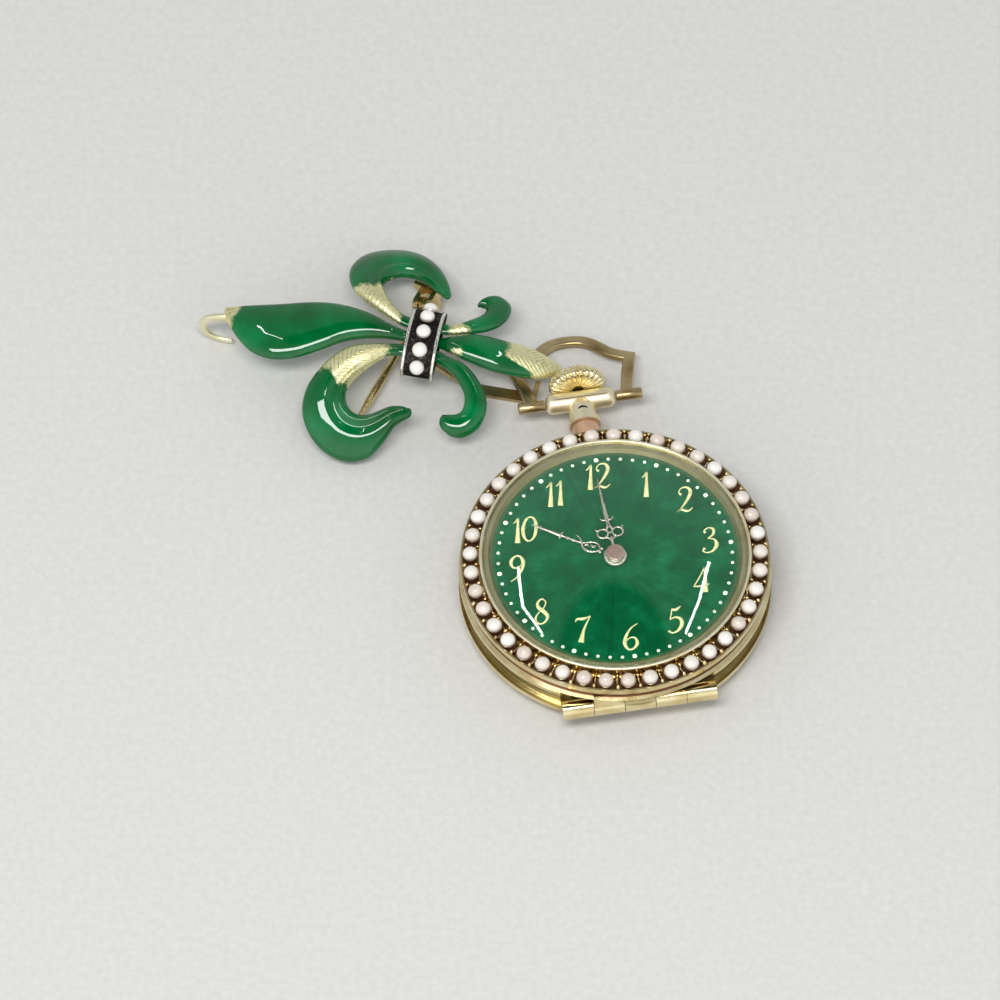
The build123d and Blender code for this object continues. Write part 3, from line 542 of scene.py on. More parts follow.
# Pearls
# Half pearls, sorted by size but never quite alike, bedded in the metal. Nacre has a soft glow from
# below its face, a faint pink cast and a small clear highlight, and each pearl's foot is painted brown
# as the shade where it sinks into its seat.
pearl = new_material("nacre")
pearl_place = add_node(pearl, "TexCoord").outputs["Object"]
pearl_cast = add_node(pearl, "Attribute", {"attribute_name": "cast"})
pearl_cloud = add_node(
    pearl, "TexNoise", {"Scale": 1 / (0.7 * MM), "Detail": 3.0}, {"Vector": pearl_place}
)
pearl_shift = add_node(pearl, "Math", {"operation": "MULTIPLY_ADD", 1: 0.35, 2: -0.17}, {0: pearl_cloud})
pearl_sum = add_node(
    pearl, "Math", {"operation": "ADD", "use_clamp": True}, {0: pearl_cast.outputs["Fac"], 1: pearl_shift}
)
pearl_tone = add_node(
    pearl, "ValToRGB", {"stops": [(0.0, "#F7F3EA"), (0.5, "#E8DBCD"), (1.0, "#CBB19F")]},
    {"Fac": pearl_sum}
)
# painted shade: each pearl's foot is mixed towards brown where it sinks into its seat
pearl_foot_shade = add_node(pearl, "Attribute", {"attribute_name": "foot"})
pearl_foot_shaded = add_node(
    pearl, "Mix", {"data_type": "RGBA", 7: linear("#6E5446")},
    {0: pearl_foot_shade.outputs["Fac"], 6: pearl_tone}
)
pearl_face = add_node(
    pearl, "BsdfPrincipled",
    {
        "Roughness": 0.28, "IOR": 1.6, "Subsurface Weight": 0.25, "Subsurface Radius": (0.4, 0.3, 0.25),
        "Subsurface Scale": 0.5 * MM, "Coat Weight": 1.0, "Coat Roughness": 0.05
    },
    {"Base Color": pearl_foot_shaded.outputs[2]}
)
finish_material(pearl, pearl_face)


def add_pearls(name, seats, radius, casts, body):
    """Adds half pearls as one piece. A seat is a place, the way the pearl faces and its share sunk."""
    draw = random.Random(name)
    points, faces, cast, foot = [], [], [], []
    around, rises = 28, 12
    for (place, way, sunk), tone in zip(seats, casts):
        size = radius * draw.uniform(0.96, 1.0)
        spin = way.to_track_quat("Z", "X").to_matrix()
        squash = (draw.uniform(0.96, 1.0), draw.uniform(0.96, 1.0), draw.uniform(0.93, 1.0))
        first = len(points)
        rings = []
        lowest = -math.asin(sunk)
        for i in range(rises):
            lift = lowest + (math.pi / 2 - lowest) * (i / rises)
            ring = []
            for k in range(around):
                turn = math.tau * k / around
                local = (
                    math.cos(lift) * math.cos(turn) * squash[0],
                    math.cos(lift) * math.sin(turn) * squash[1], math.sin(lift) * squash[2]
                )
                ring.append(place + spin @ Vector(local) * size)
            rings.append(ring)
            # painted shade: 1 at the pearl's foot, fading out towards its crown
            foot += [1 - ease((math.sin(lift) + 0.15) / 0.75)] * around
        foot.append(0.0)
        points += [p for ring in rings for p in ring]
        faces += skin(rings, first, capped=False)
        faces.append(tuple(first + k for k in reversed(range(around))))
        points.append(place + spin @ Vector((0, 0, squash[2])) * size)
        top = first + (rises - 1) * around
        faces += [(top + k, top + (k + 1) % around, len(points) - 1) for k in range(around)]
        cast += [tone] * (len(points) - first)
    piece = add_mesh(name, points, faces, pearl, body)
    piece.data.attributes.new("cast", "FLOAT", "POINT").data.foreach_set("value", cast)
    piece.data.attributes.new("foot", "FLOAT", "POINT").data.foreach_set("value", foot)
    return piece


collar_pearl_radius = 0.70 * MM
collar_seats = []
for turn_deg in (29.0, 60.0, 90.0, 120.0, 151.0):
    low = collar_point(turn_deg, 0.0, 0.0)
    high = collar_point(turn_deg, 0.0, 1.0)
    collar_seats.append((collar_point(turn_deg, 0.0, 0.06), (high - low).normalized(), 0.15))
collar_pearls = add_pearls("collar_pearls_set", collar_seats, collar_pearl_radius, [0.0] * 5, "pin")
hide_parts("collar_pearls")

# Hooks and pin
# Drawn gold wire and strip, bent by hand and soldered behind the leaves. The pin's wire is bright,
# the strip that holds the watch is painted a darker brown gold as the shade it lies in under the curl,
# and the petal's hook is painted a pale near-white gold as the highlight on its lit edge.
def gold_material(name, low, high, groove, roughness, painted_light=None):
    """Worn gold: two tones that drift, a groove tone, fine scratches, and painted light and shade where
    asked.
    """
    gold = new_material(name)
    place = add_node(gold, "TexCoord").outputs["Object"]
    drift = add_node(gold, "TexNoise", {"Scale": 1 / (2.2 * MM), "Detail": 3.0}, {"Vector": place})
    tone = add_node(
        gold, "ValToRGB", {"stops": [(0.25, groove), (0.38, low), (0.7, high)]}, {"Fac": drift}
    )
    scratches = add_node(
        gold, "TexNoise", {"Scale": 1 / (0.5 * MM), "Detail": 6.0, "Roughness": 0.75}, {"Vector": place}
    )
    dull = add_node(
        gold, "MapRange",
        {"From Min": 0.35, "From Max": 0.7, "To Min": roughness, "To Max": roughness + 0.1},
        {"Value": scratches}
    )
    bump = add_node(gold, "Bump", {"Strength": 0.05, "Distance": 0.02 * MM}, {"Height": scratches})
    colour, rough = tone, dull
    if painted_light:
        # painted light and shade laid over the gold's own tones
        share, painted_colour = painted_light(gold, place)
        mixed = add_node(gold, "Mix", {"data_type": "RGBA"}, {0: share, 6: tone, 7: painted_colour})
        colour = mixed.outputs[2]
        rough = add_node(gold, "Mix", {"data_type": "FLOAT", 3: roughness + 0.3}, {0: share, 2: dull})
    face = add_node(
        gold, "BsdfPrincipled", {"Metallic": 1.0},
        {"Base Color": colour, "Roughness": rough, "Normal": bump}
    )
    return finish_material(gold, face)


pin_gold = gold_material("drawn_pin_wire_gold", "#D6B678", "#F0DCAA", "#A88856", 0.22)
bow_and_shaded_hook_gold = gold_material("worn_bow_and_shaded_hook_gold", "#A68F62", "#C7B488", "#806A46", 0.28)
# painted highlight: the petal hook's near-white gold stands for its lit edge
highlit_hook_gold = gold_material("petal_hook_gold_painted_highlight", "#EDE4B8", "#FCF9E0", "#CBBB84", 0.36)


def dress(solid, material):
    """Gives a solid that is shown as it is a material from here."""
    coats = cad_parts[solid].data.materials
    coats.clear()
    coats.append(material)


# painted shade: the watch hook strip takes the darker bow gold for the shade under the curl
dress("watch_hook", bow_and_shaded_hook_gold)
for solid in ("pin_stem", "pin_hinge", "pin_catch"):
    dress(solid, pin_gold)


def add_rod(name, path, radii, material, body, sides=20, flat=1.0, flat_way=None):
    """A rod through points in metres, with a radius at each, flattened along one way if asked."""
    rings = []
    for i, place in enumerate(path):
        onward = (path[min(i + 1, len(path) - 1)] - path[max(i - 1, 0)]).normalized()
        side = onward.cross(flat_way or Vector((0, 0, 1))).normalized()
        upward = side.cross(onward).normalized()
        ring = []
        for k in range(sides):
            turn = math.tau * k / sides
            offset = side * math.cos(turn) + upward * math.sin(turn) * flat
            ring.append(place + offset * radii[i])
        rings.append(ring)
    return add_tube(name, rings, material, body)


hook_across = -0.6
hook_half_width = 0.43
hook_flatness = 0.7
hook_rows = [(-17.0, 4.1), (-18.0, 3.98), (-19.1, 3.4), (-19.53, 2.35), (-19.2, 1.25)]
hook_rows += [(-18.3, 0.62), (-17.3, 0.5), (-16.85, 0.66)]
hook_way = fleur_point(0, 1, 0) - fleur_point(0, 0, 0)
hook_steps = 60
hook_path, hook_radii = [], []
for i in range(hook_steps + 1):
    share = i / hook_steps
    along, height = flow(hook_rows, share * (len(hook_rows) - 1))
    hook_path.append(fleur_point(along, hook_across, height))
    taper = 1.0 - 0.35 * share
    blunt = math.sqrt(max(1 - max(0.0, (share - 0.96) / 0.04) ** 2, 0.05))
    hook_radii.append(hook_half_width * MM * taper * blunt)
top_hook = add_rod(
    "petal_hook", hook_path, hook_radii, highlit_hook_gold, "pin", flat=hook_flatness, flat_way=hook_way
)
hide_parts("top_hook")

# Watch case
# A gold case in three parts: a turned band, a dished back and a bezel, all hinged on one pin at six
# o'clock. Old polished gold is soft yellow, with a browner tone drifting through it and hair-fine
# scratches, and its grooves are painted darker as shade.
watch_centre = (11.47, -10.03)
watch_turn = math.radians(9.3)


def watch_point(right, up, height):
    """A point of the watch in metres, from its own millimetres, up being towards twelve o'clock."""
    x = watch_centre[0] + right * math.cos(watch_turn) - up * math.sin(watch_turn)
    y = watch_centre[1] + right * math.sin(watch_turn) + up * math.cos(watch_turn)
    return Vector((x, y, height)) * MM


def watch_ring(radius, height, count):
    """A level circle of points about the dial's centre."""
    turns = [math.tau * k / count for k in range(count)]
    return [watch_point(radius * math.cos(turn), radius * math.sin(turn), height) for turn in turns]


def watch_places(gold, place):
    """Sockets for the distance from the dial's centre, the way up to twelve and the height, in mm."""
    own = add_node(
        gold, "Mapping",
        {
            "vector_type": "TEXTURE", "Location": (watch_centre[0] * MM, watch_centre[1] * MM, 0),
            "Rotation": (0, 0, watch_turn), "Scale": (MM, MM, MM)
        },
        {"Vector": place}
    )
    axes = add_node(gold, "SeparateXYZ", links={"Vector": own})
    flat = add_node(gold, "CombineXYZ", links={"X": axes, "Y": axes.outputs["Y"]})
    out = add_node(gold, "VectorMath", {"operation": "LENGTH"}, {0: flat})
    return out.outputs["Value"], axes.outputs["Y"], axes.outputs["Z"]


def between(gold, value, low, high, soft):
    """A share that is 1 where a value lies between two others, and fades past them."""
    rise = add_node(gold, "MapRange", {"From Min": low - soft, "From Max": low}, {"Value": value})
    fall = add_node(
        gold, "MapRange",
        {"From Min": high, "From Max": high + soft, "To Min": 1.0, "To Max": 0.0}, {"Value": value}
    )
    return add_node(gold, "Math", {"operation": "MULTIPLY"}, {0: rise, 1: fall})


def bezel_stain(gold, place):
    """Painted shade: the bezel is brown in the channel under its pearls, and dull olive inside its lip."""
    out, up, height = watch_places(gold, place)
    # painted shade in the channel under the pearls and on the inside of the lip
    channel_shade = between(gold, out, 11.86, 13.14, 0.05)
    inner_lip_shade = add_node(
        gold, "MapRange", {"From Min": 11.4, "From Max": 11.5, "To Min": 0.75, "To Max": 0.0},
        {"Value": out}
    )
    share = add_node(gold, "Math", {"operation": "MAXIMUM"}, {0: channel_shade, 1: inner_lip_shade})
    kind = add_node(gold, "MapRange", {"From Min": 11.5, "From Max": 11.8}, {"Value": out})
    colour = add_node(gold, "ValToRGB", {"stops": [(0.0, "#8C8760"), (1.0, "#7C573C")]}, {"Fac": kind})
    return share, colour


def band_stain(gold, place):
    """Painted light and shade: olive as shade in the hollow between the band's rims, rose as a warm
    reflection at the neck's foot, and pale satin above as a highlight.
    """
    out, up, height = watch_places(gold, place)
    # painted shade: olive in the hollow between the band's two rims
    low = between(gold, height, 2.35, 3.3, 0.35)
    near = between(gold, out, 12.0, 13.3, 0.1)
    hollow_shade = add_node(gold, "Math", {"operation": "MULTIPLY"}, {0: low, 1: near})
    # painted light on the pendant: a rose reflection at the neck's foot and a pale highlight above it
    pendant_painted_light = between(gold, up, 14.05, 19.4, 0.04)
    share = add_node(gold, "Math", {"operation": "MAXIMUM"}, {0: hollow_shade, 1: pendant_painted_light})
    kind = add_node(gold, "MapRange", {"From Min": 12.0, "From Max": 20.0}, {"Value": up})
    colour = add_node(
        gold, "ValToRGB",
        {"stops": [(0.25, "#7E7248"), (0.26, "#F0C8A6"), (0.47, "#F0C8A6"), (0.49, "#F9EDCA")]},
        {"Fac": kind}
    )
    return share, colour


case_gold = gold_material("polished_case_gold", "#DCC68E", "#F3E6BA", "#B09A64", 0.13)
band_gold_painted_light = gold_material("band_gold_with_painted_light", "#DCC68E", "#F3E6BA", "#B09A64", 0.13, band_stain)
bezel_gold_painted_shade = gold_material("bezel_gold_painted_shade", "#DCC68E", "#F5E8BC", "#B09A64", 0.16, bezel_stain)
hinge_steel = gold_material("hinge_pin_steel", "#A9A59C", "#C4C1B8", "#8C857A", 0.3)
movement_brass = gold_material("gilt_movement_plate", "#BFA265", "#CDB27A", "#A98E58", 0.35)
for solid, metal in (
    ("back_cover", case_gold),
    ("case_middle", band_gold_painted_light),
    ("bezel", bezel_gold_painted_shade),
    ("hinge_pin", hinge_steel),
    ("movement", movement_brass),
):
    dress(solid, metal)

# Pearls of the bezel and their grains
# Forty-one half pearls lie in a channel. The setter raised a grain of gold at each side between two
# pearls and pushed it over them, and bright cuts run between the grains.
pearl_count = 41
pearl_circle = 12.5
pearl_height = 6.05
grain_radius = 0.2 * MM
bezel_seats = []
bezel_casts = []
tone_draw = random.Random("casts")
for i in range(pearl_count):
    turn = math.radians(90 + 360 / pearl_count * i)
    place = watch_point(pearl_circle * math.cos(turn), pearl_circle * math.sin(turn), pearl_height)
    bezel_seats.append((place, Vector((0, 0, 1)), 0.7))
    bezel_casts.append(tone_draw.choice((0.05, 0.2, 0.3, 0.45, 0.65)))
bezel_pearls = add_pearls("bezel_pearl_ring", bezel_seats, 0.71 * MM, bezel_casts, "bezel")
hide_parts("bezel_pearls")

grain_gold = gold_material("raised_grain_gold", "#E4C88E", "#F8E8B8", "#B48C60", 0.18)
grain_points, grain_faces = [], []
grain_draw = random.Random("grains")
for i in range(pearl_count):
    turn = math.radians(90 + 360 / pearl_count * (i + 0.5))
    for circle in (11.98, 13.0):
        reach = circle + grain_draw.uniform(-0.06, 0.06)
        spot = turn + grain_draw.uniform(-0.006, 0.006)
        size = grain_radius * grain_draw.uniform(0.75, 1.15)
        top = watch_point(reach * math.cos(spot), reach * math.sin(spot), 5.86)
        rings = []
        for lift, share in ((-0.38, 1.25), (-0.1, 1.1), (0.0, 1.0), (0.12, 0.75), (0.19, 0.35)):
            ring = [
                top + Vector((math.cos(math.tau * k / 10), math.sin(math.tau * k / 10), 0)) * size * share
                + Vector((0, 0, lift * MM))
                for k in range(10)
            ]
            rings.append(ring)
        grain_faces += skin(rings, len(grain_points))
        grain_points += [p for ring in rings for p in ring]
    # the ridge left between two seats
    rings = []
    for reach in (11.85, 12.15, 12.5, 12.85, 13.15):
        thin = 0.07 if reach == 12.5 else 0.14
        middle = (reach * math.cos(turn), reach * math.sin(turn))
        across = (-math.sin(turn), math.cos(turn))
        ring = []
        for sideways, height in ((-2.2, 5.45), (-1, 5.62), (0, 5.74), (1, 5.62), (2.2, 5.45)):
            ring.append(
                watch_point(
                    middle[0] + across[0] * sideways * thin, middle[1] + across[1] * sideways * thin,
                    height
                )
            )
        rings.append(ring)
    grain_faces += skin(rings, len(grain_points))
    grain_points += [p for ring in rings for p in ring]
grains = add_mesh("pearl_grains", grain_points, grain_faces, grain_gold, "bezel")

# The lip's top is rounded and burnished, and its gold is painted near white as a highlight that
# shines all round the glass.
lip_circle = 11.61
lip_half_width = 0.13
lip_rows = [(-1.0, 6.66), (-0.9, 6.712), (-0.5, 6.738), (0.0, 6.746), (0.5, 6.738)]
lip_rows += [(0.9, 6.712), (1.0, 6.66)]
lip_rings = [watch_ring(lip_circle - share * lip_half_width, height, 180) for share, height in lip_rows]
# painted highlight: near-white gold for the shine along the lip
lip_gold_painted_highlight = gold_material("burnished_lip_gold_painted_highlight", "#FFF0C4", "#FFFBE2", "#EAD69C", 0.3)
lip = add_tube("burnished_lip", lip_rings, lip_gold_painted_highlight, "bezel", capped=False)

# Crown
# A turned gold onion on the winding stem, with rounded ribs that the thumb grips. The ribs follow
# the curve of the onion and die out at its cap.
crown_axis_up = 18.4
crown_axis_height = 2.85
crown_ribs = 24
crown_rows = [
    # distance from the pivot, radius, depth of the grooves
    (0.98, 0.05, 0.0),
    (0.98, 0.50, 0.0),
    (1.00, 1.10, 0.07),
    (1.05, 1.75, 0.16),
    (1.17, 2.20, 0.21),
    (1.42, 2.44, 0.22),
    (1.75, 2.48, 0.22),
    (2.08, 2.36, 0.22),
    (2.38, 2.12, 0.22),
    (2.62, 1.80, 0.20),
    (2.78, 1.44, 0.14),
    (2.86, 1.05, 0.06),
    (2.89, 0.60, 0.0),
    (2.89, 0.05, 0.0),
]
crown_steps = 52
crown_sides = crown_ribs * 12
crown_profile = [flow(crown_rows, i / crown_steps * (len(crown_rows) - 1)) for i in range(crown_steps + 1)]
crown_rings = []
for i, (reach, radius, groove) in enumerate(crown_profile):
    ahead, behind = crown_profile[min(i + 1, crown_steps)], crown_profile[max(i - 1, 0)]
    outward = Vector((behind[1] - ahead[1], ahead[0] - behind[0])).normalized()
    ring = []
    for k in range(crown_sides):
        turn = math.tau * k / crown_sides
        cut = groove * (1 - abs(math.sin(turn * crown_ribs / 2)) ** 0.8)
        size = radius - outward.y * cut
        level = crown_axis_height + size * math.sin(turn)
        ring.append(watch_point(size * math.cos(turn), crown_axis_up + reach - outward.x * cut, level))
    crown_rings.append(ring)
crown_gold = gold_material("crown_gold", "#E6D196", "#FAEEC2", "#BE9E68", 0.16)
crown = add_tube("ribbed_crown", crown_rings, crown_gold, "crown")
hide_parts("crown")

# Pendant details
# A seam runs along the bulb where its two gold halves were soldered, dark with old dirt. Below it
# a dark crescent on the neck is painted shadow, where the neck joins the bulb.
pendant_details = [
    # name, tones, right and up of its row of points, height above the axis, half width
    (
        "bulb_seam", ("#66512F", "#79623E", "#5C482A"),
        [(-2.4, -0.12), (0.0, -0.12), (2.4, -0.12)], 0.88, 0.035,
    ),
    # painted shadow: a dark crescent where the neck meets the bulb
    (
        "neck_join_shadow", ("#2A1F14", "#382A1B", "#221910"),
        [(-0.42, -1.42), (0.0, -1.30), (0.42, -1.44)], 1.15, 0.09,
    ),
]
for name, tones, rows, radius, half_width in pendant_details:
    metal = gold_material(name + "_gold", *tones, 0.5)
    steps = 24
    rings = []
    for i in range(steps + 1):
        right, up = flow(rows, i / steps * (len(rows) - 1))
        thin = half_width * math.sqrt(max(1 - (2 * i / steps - 1) ** 4, 0.02))
        ring = []
        for side, lift in ((-1, 0.008), (0, 0.016), (1, 0.008), (1, -0.03), (-1, -0.03)):
            off = up + side * thin
            lean = off if name == "bulb_seam" else right
            level = math.sqrt(radius**2 - lean**2) + lift
            ring.append(watch_point(right, crown_axis_up + off, crown_axis_height + level))
        rings.append(ring)
    detail = add_tube(name, rings, metal, "watch")

# Bow
# A flat gold bar bent to a shouldered loop and soldered to two short sleeves that turn on the bulb.
# It is browner than the case, from years of handling and a redder alloy.
bow_tilt = math.radians(17.0)
bow_leg = [(4.08, 0.0), (4.5, 2.3), (5.12, 4.95)]
bow_arch = [(5.12, 4.95), (4.3, 5.35), (3.4, 5.95), (2.6, 6.85), (2.0, 7.45), (1.2, 7.9), (0.0, 8.07)]
bow_arch += [(-x, y) for x, y in reversed(bow_arch[:-1])]


def bow_point(right, reach, above):
    """A point of the bow: to the right, out from the pivot, and above its own plane."""
    up = reach * math.cos(bow_tilt) + above * math.sin(bow_tilt)
    height = crown_axis_height - reach * math.sin(bow_tilt) + above * math.cos(bow_tilt)
    return watch_point(right, crown_axis_up + up, height)


bar_half_width = 0.52
bar_half_thick = 0.3
bar_profile = []
for k in range(20):
    turn = math.tau * k / 20
    square = (abs(math.cos(turn)) ** 5 + abs(math.sin(turn)) ** 5) ** (-1 / 5)
    bar_profile.append((math.cos(turn) * square * bar_half_width, math.sin(turn) * square * bar_half_thick))
bow_leg_places = [flow(bow_leg, i / 12 * 2) for i in range(12)]
bow_places = bow_leg_places + [flow(bow_arch, i / 120 * (len(bow_arch) - 1)) for i in range(121)]
bow_places += [(-right, reach) for right, reach in reversed(bow_leg_places)]
bow_rings = []
for i, spot in enumerate(bow_places):
    ahead = Vector(bow_places[min(i + 1, len(bow_places) - 1)]) - Vector(spot)
    behind = Vector(spot) - Vector(bow_places[max(i - 1, 0)])
    ahead, behind = (ahead or behind).normalized(), (behind or ahead).normalized()
    way = (ahead + behind).normalized()
    # at a shoulder the bar is mitred, so its outer corner stays sharp
    mitre = 1 / max(way.dot(ahead), 0.7)
    ring = [bow_point(spot[0] - way.y * w * mitre, spot[1] + way.x * w * mitre, t) for w, t in bar_profile]
    bow_rings.append(ring)
bow_faces = skin(bow_rings)
bow_points = [p for ring in bow_rings for p in ring]
sleeve_rows = [(3.15, 0.30), (3.15, 0.46), (3.2, 0.5), (5.36, 0.5), (5.44, 0.44), (5.46, 0.2)]
for side in (1, -1):
    sleeve_rings = [
        [
            watch_point(
                side * right,
                crown_axis_up + radius * math.cos(math.tau * k / 32),
                crown_axis_height + side * radius * math.sin(math.tau * k / 32),
            )
            for k in range(32)
        ]
        for right, radius in sleeve_rows
    ]
    bow_faces += skin(sleeve_rings, len(bow_points))
    bow_points += [p for ring in sleeve_rings for p in ring]
bow = add_mesh("shouldered_bow", bow_points, bow_faces, bow_and_shaded_hook_gold, "pin")
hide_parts("bow")

# Dial
# A silver disc engine-turned with rays from its centre and covered in clear green enamel, so that
# the rays gleam through the glassy colour. Its rim, under the bezel, is painted a duller olive as shade.
dial_level = 6.0
dial_enamel = new_material("green_enamel_on_sunburst")
dial_place = add_node(dial_enamel, "TexCoord").outputs["Object"]
dial_radius = watch_places(dial_enamel, dial_place)[0]
dial_flat = add_node(
    dial_enamel, "Mapping",
    {
        "vector_type": "TEXTURE",
        "Location": (watch_centre[0] * MM, watch_centre[1] * MM, dial_level * MM),
        "Rotation": (0, 0, watch_turn), "Scale": (MM, MM, MM)
    },
    {"Vector": dial_place}
)
dial_way = add_node(dial_enamel, "VectorMath", {"operation": "NORMALIZE"}, {0: dial_flat})
ray_noise = add_node(
    dial_enamel, "TexNoise", {"Scale": 26.0, "Detail": 3.0, "Roughness": 0.6}, {"Vector": dial_way}
)
dial_cloud = add_node(
    dial_enamel, "TexNoise", {"Scale": 0.35, "Detail": 8.0, "Roughness": 0.65}, {"Vector": dial_flat}
)
ray_share = add_node(
    dial_enamel, "Math", {"operation": "MULTIPLY_ADD", 1: 0.3}, {0: ray_noise, 2: dial_cloud}
)
dial_green = add_node(
    dial_enamel, "ValToRGB",
    {"stops": [(0.35, "#003E20"), (0.65, "#005C34"), (1.0, "#148254")]}, {"Fac": ray_share}
)
# painted shade: the dial's edge under the bezel turns dull olive
bezel_shade_share = add_node(
    dial_enamel, "MapRange", {"From Min": 10.3, "From Max": 10.75, "To Max": 0.6}, {"Value": dial_radius}
)
dial_tone = add_node(
    dial_enamel, "Mix", {"data_type": "RGBA", 7: linear("#66704C")}, {0: bezel_shade_share, 6: dial_green}
)
ray_bump = add_node(dial_enamel, "Bump", {"Strength": 0.28, "Distance": 0.15 * MM}, {"Height": ray_noise})
dial_face = add_node(
    dial_enamel, "BsdfPrincipled", {"Metallic": 0.55, "Roughness": 0.38, "Specular IOR Level": 0.1},
    {"Base Color": dial_tone.outputs[2], "Normal": ray_bump}
)
finish_material(dial_enamel, dial_face)
dress("dial", dial_enamel)

# Minute dots and numerals
# Painted by hand in cream and gold, fired on, and standing a hair above the enamel. The strokes
# swell and thin as a brush makes them, and the twelve dots at the hours are larger and squarer.
paint = grained_material(
    "fired_cream_and_gold_paint", 0.4, 3.0, [(0.3, "#D9D08A"), (0.6, "#F1ECB4")],
    {"Metallic": 0.35, "Roughness": 0.4}
)
dot_paint = grained_material(
    "fired_cream_paint", 0.3, 2.0, [(0.3, "#E4E6CC"), (0.7, "#F6F7E6")], {"Roughness": 0.35}
)

dot_circle = 10.1
dot_points, dot_faces = [], []
for minute in range(60):
    turn = math.radians(90 - 6 * minute)
    hour = minute % 5 == 0
    size = 0.2 if hour else 0.15
    corner = 3.2 if hour else 2.0
    rings = []
    for lift, share in ((-0.02, 1.0), (0.03, 0.96), (0.06, 0.7), (0.075, 0.3)):
        ring = []
        for k in range(16):
            spot = math.tau * k / 16
            square = (abs(math.cos(spot)) ** corner + abs(math.sin(spot)) ** corner) ** (-1 / corner)
            out = size * share * square
            right = dot_circle * math.cos(turn) + out * math.cos(spot + turn)
            up = dot_circle * math.sin(turn) + out * math.sin(spot + turn)
            ring.append(watch_point(right, up, dial_level + lift))
        rings.append(ring)
    dot_faces += skin(rings, len(dot_points))
    dot_points += [p for ring in rings for p in ring]
dots = add_mesh("minute_dots", dot_points, dot_faces, dot_paint, "watch")


def add_strokes(strokes, place_point, low, high, points, faces, crest=0.0):
    """Adds brush strokes. Each row of a stroke is right, up and half width, in mm."""
    for rows in strokes:
        steps = 7 * (len(rows) - 1)
        spots = [flow(rows, i / steps * (len(rows) - 1)) for i in range(steps + 1)]
        rings = []
        for i, (right, up, wide) in enumerate(spots):
            ahead, behind = spots[min(i + 1, steps)], spots[max(i - 1, 0)]
            way = Vector((ahead[0] - behind[0], ahead[1] - behind[1])).normalized()
            across = (-way.y * wide, way.x * wide)
            ring = []
            for share, height in ((-1, low), (-1, high), (0, high + crest), (1, high), (1, low)):
                ring.append(place_point(right + across[0] * share, up + across[1] * share, height))
            rings.append(ring)
        faces += skin(rings, len(points))
        points += [p for ring in rings for p in ring]


def loop_rows(right, up, half_width, half_height, thick, thin):
    """A closed ring that is thick at its sides and thin at its top and bottom."""
    rows = []
    for k in range(13):
        turn = math.tau * k / 12
        wide = thin + (thick - thin) * abs(math.cos(turn)) ** 1.5
        rows.append((right + half_width * math.cos(turn), up + half_height * math.sin(turn), wide))
    return rows


